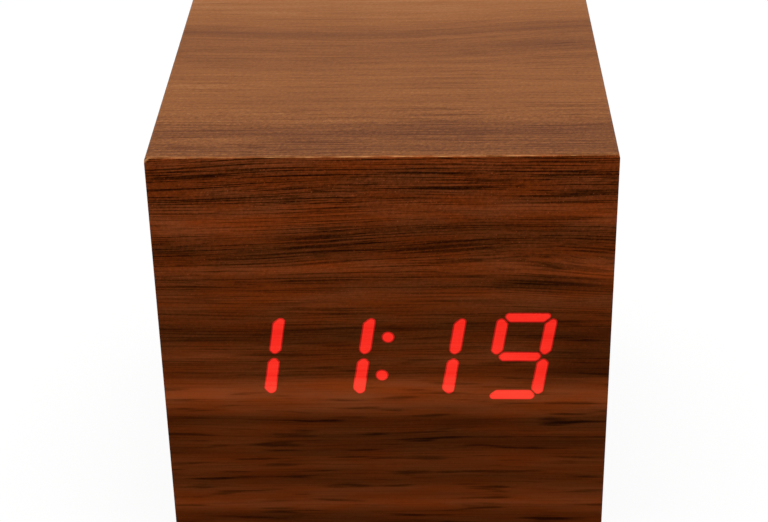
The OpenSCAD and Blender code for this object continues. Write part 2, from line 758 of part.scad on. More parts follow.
// Main board and what it carries
module main_board() {
    color(BOARD_GREEN) difference() {
        at([0, display_z]) box_y(main_board_w, main_board_h, display_back_y, board_back_y);
        for (spot = BOARD_SPOTS)
            at(spot) rod_y(screw_d + 2 * fit_gap, display_back_y - over, board_back_y + over);
        pin_rods(pin_d + 2 * fit_gap, display_back_y - over, board_back_y + over);
    }
}
module board_spacers() {
    color(NYLON) for (spot = BOARD_SPOTS)
        at(spot) ring_y(spacer_d, screw_d + 2 * fit_gap, core_y, display_back_y);
}
module board_screws() {
    color(STEEL) for (spot = BOARD_SPOTS)
        at(spot) translate([0, board_back_y, 0]) mirror([0, 1, 0])
            pan_screw(board_back_y - core_y + screw_bite);
}
module clock_chip() {
    color(BLACK_PLASTIC) at([0, display_z]) box_y(
        chip_l, chip_w, board_back_y + chip_standoff, board_back_y + chip_standoff + chip_h
    );
}
// A chip lead's side view: out of the body, down to the board, and out again
module chip_lead_outline() {
    shoulder = chip_standoff + chip_h / 2;
    body = chip_w / 2;
    bend = body + chip_lead_reach / 2;
    toe = body + chip_lead_reach;
    polygon([
        [0, toe], [chip_lead_t, toe], [chip_lead_t, bend + chip_lead_t], [shoulder, bend + chip_lead_t],
        [shoulder, body], [shoulder - chip_lead_t, body], [shoulder - chip_lead_t, bend], [0, bend]
    ]);
}
module chip_leads() {
    color(STEEL) for (side = [0, 180], i = [0 : chip_leads_per_side - 1])
        translate([0, board_back_y, display_z]) rotate([0, side, 0])
            translate([(i - (chip_leads_per_side - 1) / 2) * chip_lead_pitch, 0, 0])
                along_x(-chip_lead_w / 2, chip_lead_w / 2) chip_lead_outline();
}
module crystal() {
    color(STEEL) at(CRYSTAL_SPOT) translate([0, board_back_y + crystal_d / 2, -crystal_l / 2])
        cylinder(d = crystal_d, h = crystal_l);
}
module buzzer() {
    color(BLACK_PLASTIC) at(BUZZER_SPOT) difference() {
        rod_y(buzzer_d, board_back_y, board_back_y + buzzer_h);
        rod_y(buzzer_hole_d, board_back_y + buzzer_h / 2, board_back_y + buzzer_h + over);
    }
}
module capacitor() {
    color("#2b3b63") at(CAPACITOR_SPOT) rod_y(capacitor_d, board_back_y, board_back_y + capacitor_h);
}
module lead_sockets() {
    color(NYLON) for (spot = SOCKET_SPOTS)
        at(spot) box_y(socket_l, socket_w, board_back_y, socket_y);
}

// Battery bay
module hinge_pins(d, x) {
    translate([0, door_axis_y, door_axis_z]) rod_x(d, -x, x);
}
// A terminal tab goes through the tray's floor at the first and last cell
module terminal_tabs(gap) {
    for (end = [[cell_end(0), 0], [-cell_end(cell_count - 1), cell_count - 1]])
        translate([end.x * tab_x, 0, cell_z(end.y)])
            box_y(plate_t + 2 * gap, tab_w + 2 * gap, tab_end_y - gap, tray_floor_y + over);
}
module battery_tray() {
    color(BLACK_PLASTIC) difference() {
        union() {
            at([0, tray_z]) box_y(tray_w, tray_h, tray_under_y, back_inner_y);
            at([0, tray_z]) box_y(collar_w, tray_h, back_inner_y - over, back_face_y);
            for (side = [-1, 1], x = [-ear_x, ear_x])
                at([x, tray_z + side * (tray_h + ear_h - over) / 2])
                    box_y(ear_w, ear_h + over, back_inner_y - ear_t, back_inner_y);
        }
        difference() {
            union() {
                at([0, tray_z]) box_y(bay_l, bay_h, tray_floor_y, roof_y);
                at([0, tray_z]) box_y(opening_w, bay_h, tray_floor_y, back_face_y + over);
            }
            for (i = [1 : 1 : cell_count - 1])
                at([0, cell_z(i) - cell_pitch / 2])
                    box_y(cell_l / 2, rib_w, tray_floor_y - over, tray_floor_y + rib_h);
            for (side = [-1, 1])
                at([0, tray_z + side * (bay_h - ledge_w + over) / 2]) box_y(
                    opening_w, ledge_w + over,
                    door_inner_y - ledge_t - running_gap, door_inner_y - running_gap
                );
        }
        for (spot = TRAY_SPOTS)
            at(spot) rod_y(screw_d + 2 * fit_gap, back_inner_y - ear_t - over, back_inner_y + over);
        hinge_pins(hinge_pin_d + 2 * running_gap, collar_w / 2 + over);
        terminal_tabs(fit_gap);
    }
}
module tray_screws() {
    color(STEEL) for (spot = TRAY_SPOTS)
        at(spot) translate([0, back_inner_y - ear_t, 0]) pan_screw(ear_t + screw_bite);
}
module battery_door() {
    color(BLACK_PLASTIC) difference() {
        union() {
            at([0, (door_axis_z + door_top_z) / 2])
                box_y(door_w, door_top_z - door_axis_z, door_inner_y, back_face_y);
            translate([0, door_axis_y, door_axis_z]) rod_x(door_t, -door_w / 2, door_w / 2);
            hinge_pins(hinge_pin_d, door_w / 2 + hinge_pin_l);
            for (i = [0 : ridge_count - 1])
                at([0, door_top_z - ridge_pitch * (i + 1)])
                    box_y(tongue_w - 4 * tongue_cut, ridge_w, back_face_y - ridge_h, back_face_y + ridge_h);
            at([0, door_top_z])
                box_y(tongue_w - 4 * tongue_cut, 2 * latch_nose, door_inner_y, door_axis_y);
        }
        for (side = [-1, 1])
            translate([side * tongue_w / 2, 0, door_top_z - tongue_l / 2 + over / 2])
                box_y(tongue_cut, tongue_l + over, door_inner_y - over, back_face_y + over);
    }
}
module aaa_cells() {
    color(STEEL) for (i = [0 : cell_count - 1])
        translate([0, cell_y, cell_z(i)]) mirror([cell_end(i) > 0 ? 1 : 0, 0, 0])
            translate([-bay_l / 2 + plate_t, 0, 0]) {
                rod_x(nub_d, 0, 2 * nub_h);
                rod_x(cell_d, nub_h, cell_l);
            }
}
// A contact plate at one end of the bay, tall enough for the cells from first to last
module contact_plate(side, first, last) {
    height = (last - first) * cell_pitch + plate_w;
    translate([side * (bay_l - plate_t) / 2, 0, (cell_z(first) + cell_z(last)) / 2])
        box_y(plate_t, height, tray_floor_y, roof_y - fit_gap);
}
module contact_plates() {
    color(STEEL) {
        for (side = [-1, 1], first = [0 : cell_count - 1])
            if (cell_end(first) == -side && first + 1 < cell_count)
                contact_plate(side, first, first + 1);
        contact_plate(cell_end(0), 0, 0);
        contact_plate(-cell_end(cell_count - 1), cell_count - 1, cell_count - 1);
        terminal_tabs(0);
    }
}
module contact_springs() {
    spring_sides = 6;
    color(STEEL) for (i = [0 : cell_count - 1])
        translate([0, cell_y, cell_z(i)]) mirror([cell_end(i) > 0 ? 0 : 1, 0, 0])
            translate([-bay_l / 2 + plate_t, 0, 0])
                wire(spring_path(), spring_wire_d, spring_sides, [0, 0, 1]);
}

// Buttons
module button_board() {
    color(BOARD_GREEN) difference() {
        at([0, button_z]) box_y(button_board_w, button_board_h, rear_board_front_y, rear_board_y);
        for (spot = BUTTON_SPACER_SPOTS)
            at(spot) rod_y(screw_d + 2 * fit_gap, rear_board_front_y - over, rear_board_y + over);
    }
}
module tact_switches() {
    color(BLACK_PLASTIC) for (i = [-1 : 1])
        at([i * button_pitch, button_z]) difference() {
            box_y(tact_size, tact_size, rear_board_y, tact_y);
            rod_y(
                plunger_d + 2 * running_gap, tact_y - plunger_seat - button_travel - fit_gap, tact_y + over
            );
        }
}
module button(place) {
    color(BLACK_PLASTIC) at([place * button_pitch, button_z]) {
        rod_y(button_d, plunger_y, back_face_y + button_proud);
        rod_y(button_d + 2 * flange_w, plunger_y, plunger_y + flange_t);
        along_y(back_face_y + button_proud - sign_h, back_face_y + button_proud + sign_h) children();
    }
}
// Three-cornered sign that points up or down
module arrow_sign(direction) {
    polygon([
        [-sign_size / 2, -direction * sign_size / 3], [sign_size / 2, -direction * sign_size / 3],
        [0, direction * sign_size / 2]
    ]);
}
module ring_sign() {
    difference() {
        circle(d = sign_size);
        circle(d = sign_size / 2);
    }
}
module set_button() { button(1) ring_sign(); }
module up_button() { button(0) arrow_sign(1); }
module down_button() { button(-1) arrow_sign(-1); }
module plunger(place) {
    color(NYLON) at([place * button_pitch, button_z]) rod_y(plunger_d, tact_y - plunger_seat, plunger_y);
}

// Power inlet, microphone and slide switch
module control_board() {
    color(BOARD_GREEN) difference() {
        at([0, control_z]) box_y(control_board_w, control_board_h, rear_board_front_y, rear_board_y);
        for (spot = CONTROL_SPACER_SPOTS)
            at(spot) rod_y(screw_d + 2 * fit_gap, rear_board_front_y - over, rear_board_y + over);
    }
}
module power_jack() {
    color(BLACK_PLASTIC) at([jack_x, control_z]) difference() {
        union() {
            box_y(jack_body, jack_body, rear_board_y, back_inner_y - fit_gap);
            rod_y(jack_nose_d, rear_board_y + over, back_face_y);
        }
        rod_y(jack_bore_d, back_face_y - jack_bore_l, back_face_y + over);
    }
}
module jack_pin() {
    color(BRASS) at([jack_x, control_z])
        rod_y(jack_pin_d, back_face_y - jack_bore_l, back_face_y - jack_bore_l + jack_pin_l);
}
module microphone() {
    color(STEEL) at([mic_x, control_z]) rod_y(mic_d, rear_board_y, rear_board_y + mic_h);
}
module switch_shell() {
    top_y = rear_board_y + switch_h;
    color(STEEL) at([switch_x, control_z]) difference() {
        box_y(switch_l, switch_w, rear_board_y, top_y);
        box_y(
            switch_l - 2 * switch_wall, switch_w - 2 * switch_wall,
            top_y - switch_wall - slider_t - 2 * running_gap, top_y - switch_wall
        );
        box_y(
            knob_l + switch_travel + 2 * fit_gap, knob_w + 2 * fit_gap, top_y - 2 * switch_wall, top_y + over
        );
    }
}
module switch_knob() {
    slider_y = rear_board_y + switch_h - switch_wall - running_gap;
    color(BLACK_PLASTIC) at([knob_x, control_z]) {
        box_y(slider_l, switch_w - 2 * switch_wall - 2 * fit_gap, slider_y - slider_t, slider_y);
        box_y(knob_l, knob_w, slider_y - slider_t, back_face_y + knob_proud);
    }
}

// Spacers and screws of the two rear boards
module rear_spacers() {
    color(NYLON) for (spot = REAR_SPACER_SPOTS)
        at(spot) ring_y(spacer_d, screw_d + 2 * fit_gap, rear_board_y, back_inner_y);
}
module rear_board_screws() {
    color(STEEL) for (spot = REAR_SPACER_SPOTS)
        at(spot) translate([0, rear_board_front_y, 0])
            pan_screw(back_inner_y - rear_board_front_y + screw_bite);
}

// Leads
lead_sides = 8;
module battery_lead(tab, socket) { wire(lead_path(tab, socket, lead_sag), lead_d, lead_sides, [0, 0, 1]); }
module battery_lead_red() { color("#b5221c") battery_lead(RED_TAB, RED_SOCKET); }
module battery_lead_black() { color("#202022") battery_lead(BLACK_TAB, BLACK_SOCKET); }
module button_ribbon() { color("#8f9296") ribbon(BUTTON_SOCKET_SPOT, button_z); }
module control_ribbon() { color("#8f9296") ribbon(CONTROL_SOCKET_SPOT, control_z); }

front_veneer();
front_panel();
side_panel(0);  // top_panel
side_panel(180);  // bottom_panel
side_panel(90);  // left_panel
side_panel(-90);  // right_panel
back_panel();
corner_blocks();
back_screws();
display_housing();
lit_segments();
dark_segments();
colon_dots();
display_pins();
main_board();
board_spacers();
board_screws();
clock_chip();
chip_leads();
crystal();
buzzer();
capacitor();
lead_sockets();
battery_tray();
tray_screws();
battery_door();
aaa_cells();
contact_plates();
contact_springs();
button_board();
tact_switches();
set_button();
up_button();
down_button();
plunger(1);  // set_plunger
plunger(0);  // up_plunger
plunger(-1);  // down_plunger
control_board();
power_jack();
jack_pin();
microphone();
switch_shell();
switch_knob();
rear_spacers();
rear_board_screws();
battery_lead_red();
battery_lead_black();
button_ribbon();
control_ribbon();
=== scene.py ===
"""Looks of a cube digital clock: a walnut-veneered case, a red LED time and a back with its controls.

The part's frame is in metres: the origin is the centre of the base, +X is right as seen from the front,
+Y is back and +Z is up. Sizes and patterns are written in millimetres, and the stage in metres.
"""
import logging
import math
from dataclasses import dataclass
from enum import IntEnum
from typing import Any, Callable, Sequence

import bmesh
import bpy
from bpy.types import Material, Object
from mathutils import Color, Matrix, Vector


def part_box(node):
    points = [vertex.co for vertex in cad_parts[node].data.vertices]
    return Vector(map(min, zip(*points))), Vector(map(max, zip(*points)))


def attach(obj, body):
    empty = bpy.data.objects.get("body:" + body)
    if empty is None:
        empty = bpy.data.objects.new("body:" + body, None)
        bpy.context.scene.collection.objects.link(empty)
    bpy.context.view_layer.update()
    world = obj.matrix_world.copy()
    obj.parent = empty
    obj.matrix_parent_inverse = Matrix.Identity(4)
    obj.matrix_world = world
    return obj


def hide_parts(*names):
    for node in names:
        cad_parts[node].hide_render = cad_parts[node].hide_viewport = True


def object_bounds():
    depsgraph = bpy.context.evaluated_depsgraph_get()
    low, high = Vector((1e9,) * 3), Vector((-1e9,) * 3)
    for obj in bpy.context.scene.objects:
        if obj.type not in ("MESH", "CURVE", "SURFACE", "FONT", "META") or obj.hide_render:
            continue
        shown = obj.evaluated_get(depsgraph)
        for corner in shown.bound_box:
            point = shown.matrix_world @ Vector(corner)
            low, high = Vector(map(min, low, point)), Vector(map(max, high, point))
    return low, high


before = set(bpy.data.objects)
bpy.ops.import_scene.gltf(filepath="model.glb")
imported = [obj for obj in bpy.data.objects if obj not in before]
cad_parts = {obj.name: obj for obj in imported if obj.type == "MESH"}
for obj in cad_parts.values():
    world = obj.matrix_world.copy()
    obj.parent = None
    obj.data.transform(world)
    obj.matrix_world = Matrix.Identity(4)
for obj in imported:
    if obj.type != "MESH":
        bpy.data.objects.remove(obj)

CAD_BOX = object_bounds()
LOG = logging.getLogger("clock")

MM = 0.001
HALF = CAD_BOX[1].x / MM
SIDE = 2 * HALF
MERGE = 0.002 * MM
TOUCH = 0.001 * MM
LONG_EDGE = 50.0 * MM
FLAT_ANGLE = math.radians(0.5)
SMOOTH_ANGLE = math.radians(35.0)
SHARP_ANGLE = math.radians(40.0)
FACING = 0.99

Colour = tuple[float, float, float, float]
Tones = tuple[Colour, Colour, Colour, Colour]
Span = tuple[float, float]
Triple = tuple[float, float, float]
Stops = tuple[tuple[float, float], ...]
Inputs = dict[int | str, Any]
EdgeTest = Callable[[Vector, Vector], bool]

WHITE: Colour = (1.0, 1.0, 1.0, 1.0)


def srgb(red: float, green: float, blue: float) -> Colour:
    """A linear colour with full alpha, from screen values from 0 to 255."""
    return *Color((red / 255, green / 255, blue / 255)).from_srgb_to_scene_linear(), 1.0


def scaled(colour: Colour, factor: float) -> Colour:
    """The colour, lighter or darker by a factor."""
    return colour[0] * factor, colour[1] * factor, colour[2] * factor, 1.0


def operation(kind: str, swapped: bool = False) -> Callable[..., "Field"]:
    """A method of Field that does arithmetic.

    Args:
        kind: the Math node's operation.
        swapped: whether the field is the second of its two values.

    Returns:
        The method, which takes the other value where there is one.
    """
    def method(field: "Field", *other: Any) -> "Field":
        """What the operation gives."""
        values = (*other, field) if swapped else (field, *other)
        return field.paint.node("Math", dict(enumerate(values)), operation=kind)

    return method


class Field:
    """A value that varies over a surface: an output of a node, with arithmetic on it."""

    __add__ = __radd__ = operation("ADD")
    __sub__ = operation("SUBTRACT")
    __rsub__ = operation("SUBTRACT", swapped=True)
    __mul__ = __rmul__ = operation("MULTIPLY")
    __truediv__ = operation("DIVIDE")
    __abs__ = operation("ABSOLUTE")
    larger = operation("MAXIMUM")
    smaller = operation("MINIMUM")
    wave = operation("SINE")

    def __init__(self, paint: "Paint", made: bpy.types.Node, output: int | str = 0) -> None:
        """Wraps one output of a node of a paint."""
        self.paint = paint
        self.made = made
        self.socket = Paint.find(made.outputs, output) if made.outputs else None

    def output(self, key: int | str) -> "Field":
        """Another output of the same node."""
        return Field(self.paint, self.made, key)

    def step(self, low: float, high: float) -> "Field":
        """A smooth step from 0 at low to 1 at high.

        Args:
            low: the value at which the step starts.
            high: the value at which it ends, which may be below low.

        Returns:
            The step.
        """
        if low > high:
            return 1.0 - self.step(high, low)
        inputs = {"Value": self, "From Min": low, "From Max": high}
        return self.paint.node("MapRange", inputs, interpolation_type="SMOOTHSTEP")

    def ramp(self, stops: Sequence[tuple[float, Any]], way: str = "LINEAR") -> "Field":
        """A ramp over the value.

        Args:
            stops: rising places from 0 to 1, each with a colour or a grey level.
            way: how the ramp goes between them.

        Returns:
            The ramp's colour.
        """
        field = self.paint.node("ValToRGB", {"Fac": self})
        ramp = field.made.color_ramp
        ramp.interpolation = way
        while len(ramp.elements) < len(stops):
            ramp.elements.new(1.0)
        for element, (place, value) in zip(ramp.elements, stops):
            element.position = place
            element.color = value if isinstance(value, tuple) else (value, value, value, 1.0)
        return field

    def mix(self, first: Any, second: Any, way: str = "MIX") -> "Field":
        """A blend of two colours, in which the value is the share of the second."""
        inputs = {"Factor_Float": self, "A_Color": first, "B_Color": second}
        return self.paint.node("Mix", inputs, "Result_Color", data_type="RGBA", blend_type=way)

    def shade(self, colour: Colour, shades: Span) -> "Field":
        """A colour between its darker shade at 0 and its lighter one at 1."""
        return self.mix(scaled(colour, shades[0]), scaled(colour, shades[1]))

    def bump(self, depth: float, strength: float = 1.0) -> "Field":
        """The normal of a relief with the value as its height, whose full depth is in mm."""
        return self.paint.node("Bump", {"Height": self, "Distance": depth * MM, "Strength": strength})


Place = tuple[Field, Field, Field]


class Paint:
    """The nodes of a material or a world."""

    def __init__(self, owner: Material | bpy.types.World) -> None:
        """Starts with none."""
        owner.use_nodes = True
        self.owner = owner
        self.tree = owner.node_tree
        self.tree.nodes.clear()

    @staticmethod
    def find(sockets: Any, key: int | str) -> bpy.types.NodeSocket:
        """A socket by its number, identifier or name."""
        if isinstance(key, int):
            return sockets[key]
        return next(socket for socket in sockets if key in (socket.identifier, socket.name))

    def node(self, kind: str, inputs: Inputs | None = None, output: int | str = 0,
             **settings: Any) -> Field:
        """Adds a node.

        Args:
            kind: the node's type without its prefix.
            inputs: the values of its sockets, or the fields that link to them.
            output: the output that is returned.
            settings: the node's own settings.

        Returns:
            That output.
        """
        made = self.tree.nodes.new("ShaderNode" + kind)
        for key, value in settings.items():
            setattr(made, key, value)
        for key, value in (inputs or {}).items():
            socket = self.find(made.inputs, key)
            if isinstance(value, Field):
                self.tree.links.new(value.socket, socket)
            else:
                socket.default_value = value
        return Field(self, made, output)

    def place(self) -> Place:
        """The place on the piece along X, Y and Z, in mm."""
        inside = self.node("TexCoord", output="Object")
        axes = self.node("SeparateXYZ", {0: inside})
        return tuple(axes.output(axis) * (1 / MM) for axis in "XYZ")

    def vector(self, x: Any, y: Any, z: Any) -> Field:
        """A vector from three values."""
        return self.node("CombineXYZ", {0: x, 1: y, 2: z})


class Axis(IntEnum):
    """A direction of the part's frame."""

    X = 0
    Y = 1
    Z = 2


@dataclass(frozen=True)
class Run:
    """A length along an axis, in mm: its value at the axis's zero, and the way in which it grows."""

    axis: Axis
    start: float = 0.0
    sign: float = 1.0

    def at(self, place: Place) -> Field:
        """The length at a place on the piece."""
        return place[self.axis] * self.sign + self.start


@dataclass(frozen=True)
class Noise:
    """Smooth noise: its size in mm, and the number and strength of its finer layers."""

    size: float | Triple
    detail: float = 2.0
    rough: float = 0.5

    def at(self, x: Field, y: Any, z: Any) -> Field:
        """The noise at a place in mm, from 0 to 1."""
        sizes = (self.size,) * 3 if isinstance(self.size, float) else self.size
        vector = x.paint.vector(*(axis / size for axis, size in zip((x, y, z), sizes)))
        inputs = {"Vector": vector, "Scale": 1.0, "Detail": self.detail, "Roughness": self.rough}
        return x.paint.node("TexNoise", inputs)


@dataclass(frozen=True)
class Spot:
    """A soft oval place on a sheet of veneer, in mm along and across its grain."""

    along: float
    across: float
    half_along: float
    half_across: float
    amount: float

    def show(self, along: Field, across: Field) -> Field:
        """The spot's amount, fading to nothing at its rim."""
        x = (along - self.along) / self.half_along
        y = (across - self.across) / self.half_across
        inputs = {"Vector": x.paint.vector(x, y, 0.0)}
        ball = x.paint.node("TexGradient", inputs, "Fac", gradient_type="SPHERICAL")
        return ball.step(0.0, 1.0) * self.amount


@dataclass(frozen=True)
class Layer:
    """One layer of grain: noise drawn out along it, with its length and width in mm.

    A mark sets in between two levels of the noise, and its depth in the surface is from 0 to 1.
    """

    length: float
    width: float
    seed: float
    detail: float = 1.0
    rough: float = 0.5
    marks: Span = (0.0, 1.0)
    depth: float = 0.0

    def show(self, along: Field, across: Field, seed: float) -> Field:
        """The layer's noise, from 0 to 1."""
        noise = Noise((self.length, self.width, 1.0), self.detail, self.rough)
        return noise.at(along, across, seed + self.seed)

    def swing(self, along: Field, across: Field, seed: float) -> Field:
        """The noise about its middle, from -1 to 1."""
        return self.show(along, across, seed) * 2.0 - 1.0

    def marked(self, along: Field, across: Field, seed: float) -> Field:
        """The marks that stand out of the noise, from 0 to 1."""
        return self.show(along, across, seed).step(*self.marks)


SWAY = Layer(48.0, 12.0, 0.0)
RIPPLE = Layer(24.0, 4.0, 7.0)
BROAD = Layer(26.0, 1.4, 1.0, 2.0, 0.45)
THREAD = Layer(17.0, 0.22, 9.0, 0.0, marks=(0.52, 0.67), depth=0.4)
LENS = Layer(10.0, 0.85, 15.0, 2.0, 0.4, (0.53, 0.76), 0.3)
STREAK = Layer(5.0, 0.26, 2.0, marks=(0.55, 0.66), depth=0.5)
CLUSTER = Layer(18.0, 4.5, 3.0, marks=(0.36, 0.6))
FINE = Layer(6.0, 0.16, 4.0, 2.0, 0.65, depth=0.15)
PORE = Layer(3.6, 0.14, 5.0, marks=(0.55, 0.66), depth=0.6)
MOTTLE = Layer(0.6, 0.5, 8.0, 3.0, 0.75)
DUST = Layer(0.24, 0.24, 10.0, 0.0, marks=(0.74, 0.82))
HUE = Layer(12.0, 2.8, 12.0, 2.0, 0.55, (0.3, 0.7))

# The cosine and sine of the angle between the mottle and the grain.
MOTTLE_COS, MOTTLE_SIN = 0.8, 0.6
# The shares of streaks and pores that lie outside the clusters.
LOOSE_STREAKS, LOOSE_PORES = 0.2, 0.35
# Lens marks show where the density of fine grain is below this.
LENS_LIMIT = 0.5
# The tones at which a veneer has its four colours, and the depths over which its rim's colours set in.
TONE_PLACES = (0.0, 0.32, 0.62, 1.0)
RIM_FADE: Span = (0.1, 0.5)


@dataclass(frozen=True)
class Finish:
    """What a surface is made of. In each kind, a relief is its depth in mm and how strongly it shows."""

    name: str

    def look(self, place: Place) -> Inputs:
        """The inputs of the surface shader."""
        raise NotImplementedError

    def material(self) -> Material:
        """The finished material."""
        paint = Paint(bpy.data.materials.new(self.name))
        surface = paint.node("BsdfPrincipled", self.look(paint.place()))
        paint.node("OutputMaterial", {"Surface": surface})
        return paint.owner


@dataclass(frozen=True)
class WornAndLitRim:
    """A ragged pale line just behind a front face, in mm: partly wear of the veneer and partly a painted
    highlight on the rim.
    """

    face: float
    start: float = 0.08
    full: float = 0.24
    ragged: float = 0.16
    fade: Span = (0.3, 0.5)
    fade_share: float = 0.7
    noise: Noise = Noise((2.6, 2.6, 0.5), 4.0, 0.7)
    pale_marks: Span = (0.4, 0.68)
    dark: Colour = srgb(142, 80, 38)
    pale: Colour = srgb(212, 150, 92)

    def wear(self, place: Place, colour: Field) -> Field:
        """The colour with the pale line over it: wear of the veneer and a painted highlight."""
        x, y, z = place
        noise = self.noise.at(x, z, y)
        depth = y - self.face + (noise - 0.5) * self.ragged
        worn_and_lit = depth.step(self.start, self.full) * (1.0 - depth.step(*self.fade) * self.fade_share)
        return worn_and_lit.mix(colour, noise.step(*self.pale_marks).mix(self.dark, self.pale))


@dataclass(frozen=True)
class Walnut(Finish):
    """A sheet of walnut veneer with its own bands, marks and tones.

    Bands and density are ramps across the sheet, lifts bend its growth lines, and patches change its tone.
    The values from broad to speck say how strongly each layer of grain shows.
    """

    along: Run
    across: Run
    tones: Tones
    bands: Stops
    density: Stops
    seed: float
    lifts: tuple[Spot, ...] = ()
    patches: tuple[Spot, ...] = ()
    band_low: float = 0.0
    wrap: Run | None = None
    rim_tones: Tones | None = None
    sway: float = 0.7
    ripple: float = 0.2
    broad: float = 0.18
    thread: float = 0.46
    streak: float = 0.21
    lens: float = 1.05
    fine: float = 0.3
    pore: float = 0.3
    mottle: float = 0.46
    speck: float = 0.0
    turn: Colour | None = None
    worn_and_lit: WornAndLitRim | None = None
    sheen: float = 0.05
    roughness: float = 0.46
    dark_roughness: float = 0.14
    relief: Span = (0.03, 0.5)

    def lines(self, place: Place) -> tuple[Field, Field, Field]:
        """The places that the grain follows.

        Args:
            place: the place on the piece.

        Returns:
            The places along the grain, across it, and across its swaying growth lines, in mm.
        """
        along = self.along.at(place)
        across = self.across.at(place)
        if self.wrap:
            across = across + self.wrap.at(place)
        line = across + SWAY.swing(along, across, self.seed) * self.sway
        line = line + RIPPLE.swing(along, across, self.seed) * self.ripple
        for lift in self.lifts:
            line = line - lift.show(along, across)
        return along, across, line

    def grain(self, place: Place) -> tuple[Field, Field]:
        """The tone of the veneer and the share of it that is dark grain.

        Args:
            place: the place on the piece.

        Returns:
            The tone from 0, dark, to 1, light, and the dark grain from 0 to 1.
        """
        along, across, line = self.lines(place)
        tone = ((line - self.band_low) / SIDE).ramp(self.bands, "EASE")
        dense = ((across - self.band_low) / SIDE).ramp(self.density, "EASE")
        for patch in self.patches:
            tone = tone + patch.show(along, across)
        grown = along, line, self.seed
        cluster = CLUSTER.marked(*grown)
        thread = THREAD.marked(*grown) * dense
        streak = STREAK.marked(*grown) * (LOOSE_STREAKS + (1 - LOOSE_STREAKS) * cluster) * dense
        pore = PORE.marked(*grown) * (LOOSE_PORES + (1 - LOOSE_PORES) * cluster) * dense
        lens = LENS.marked(*grown) * (LENS_LIMIT - dense).larger(0.0)
        fine = FINE.swing(*grown) * dense
        slant_along = along * MOTTLE_COS + across * MOTTLE_SIN
        slant_across = across * MOTTLE_COS - along * MOTTLE_SIN
        mottle = MOTTLE.swing(slant_along, slant_across, self.seed) * dense
        tone = tone + BROAD.swing(*grown) * self.broad + fine * self.fine + mottle * self.mottle
        tone = tone - thread * self.thread - streak * self.streak - lens * self.lens - pore * self.pore
        if self.speck:
            tone = tone + DUST.marked(along, across, self.seed) * dense * self.speck
        dark = thread * THREAD.depth + streak * STREAK.depth + lens * LENS.depth + pore * PORE.depth
        return tone, (dark + (1.0 - fine) * FINE.depth).smaller(1.0)

    def colour(self, place: Place, tone: Field) -> Field:
        """The veneer's colour.

        Args:
            place: the place on the piece.
            tone: the tone from 0, dark, to 1, light.

        Returns:
            The colour, which turns from red to a greener brown in places and changes at the rims.
        """
        colour = tone.ramp(tuple(zip(TONE_PLACES, self.tones)))
        if self.rim_tones:
            rim = tone.ramp(tuple(zip(TONE_PLACES, self.rim_tones)))
            colour = self.wrap.at(place).step(*RIM_FADE).mix(colour, rim)
        if self.turn:
            turned = HUE.marked(place[Axis.X], place[Axis.Z], self.seed)
            colour = turned.mix(colour, self.turn, "MULTIPLY")
        # A pale line at the front rim: wear of the veneer with a painted highlight.
        if self.worn_and_lit:
            colour = self.worn_and_lit.wear(place, colour)
        return colour

    def look(self, place: Place) -> Inputs:
        """The inputs of the surface shader."""
        tone, dark = self.grain(place)
        rough = dark * self.dark_roughness + self.roughness
        return {"Base Color": self.colour(place, tone), "Roughness": rough,
                "Specular IOR Level": self.sheen, "Normal": (1.0 - dark).bump(*self.relief)}


@dataclass(frozen=True)
class Moulded(Finish):
    """Moulded plastic with a fine spark-eroded texture, soft clouds and scratches."""

    colour: Colour
    roughness: float = 0.5
    texture: float = 0.18
    texture_layers: Span = (2.0, 0.6)
    grit_share: float = 0.2
    grit_roughness: float = 0.2
    cloud: Noise = Noise(9.0, 3.0, 0.6)
    cloud_level: float = 0.35
    cloud_share: float = 0.5
    scratch: Noise = Noise((6.0, 0.2, 0.2), 1.0)
    scratch_marks: Span = (0.68, 0.78)
    scratch_share: float = 0.06
    lightest: float = 0.7
    shades: Span = (0.82, 1.22)
    sheen: float = 0.35
    relief: Span = (0.02, 0.6)

    def surface(self, place: Place) -> tuple[Field, Field, Field]:
        """The fine texture from 0 to 1, with its roughness and its normal."""
        grit = Noise(self.texture, *self.texture_layers).at(*place)
        return grit, self.roughness + (grit - 0.5) * self.grit_roughness, grit.bump(*self.relief)

    def look(self, place: Place) -> Inputs:
        """The inputs of the surface shader."""
        grit, rough, normal = self.surface(place)
        scratch = self.scratch.at(*place).step(*self.scratch_marks) * self.scratch_share
        cloud = (self.cloud.at(*place) - self.cloud_level) * self.cloud_share
        light = (cloud + grit * self.grit_share + scratch).step(0.0, self.lightest)
        return {"Base Color": light.shade(self.colour, self.shades), "Roughness": rough - scratch,
                "Specular IOR Level": self.sheen, "Normal": normal}


@dataclass(frozen=True)
class Metal(Finish):
    """Plated or drawn metal with fine lines and dull patches."""

    colour: Colour
    roughness: float = 0.28
    line: Noise = Noise((1.2, 1.2, 0.06))
    line_roughness: float = 0.16
    patch: Noise = Noise(2.2, 3.0, 0.65)
    patch_marks: Span = (0.3, 0.75)
    patch_roughness: float = 0.2
    shades: Span = (0.8, 1.0)

    def look(self, place: Place) -> Inputs:
        """The inputs of the surface shader."""
        line = self.line.at(*place)
        patch = self.patch.at(*place)
        rough = self.roughness + (line - 0.5) * self.line_roughness + (patch - 0.5) * self.patch_roughness
        return {"Base Color": patch.step(*self.patch_marks).shade(self.colour, self.shades),
                "Roughness": rough, "Metallic": 1.0}


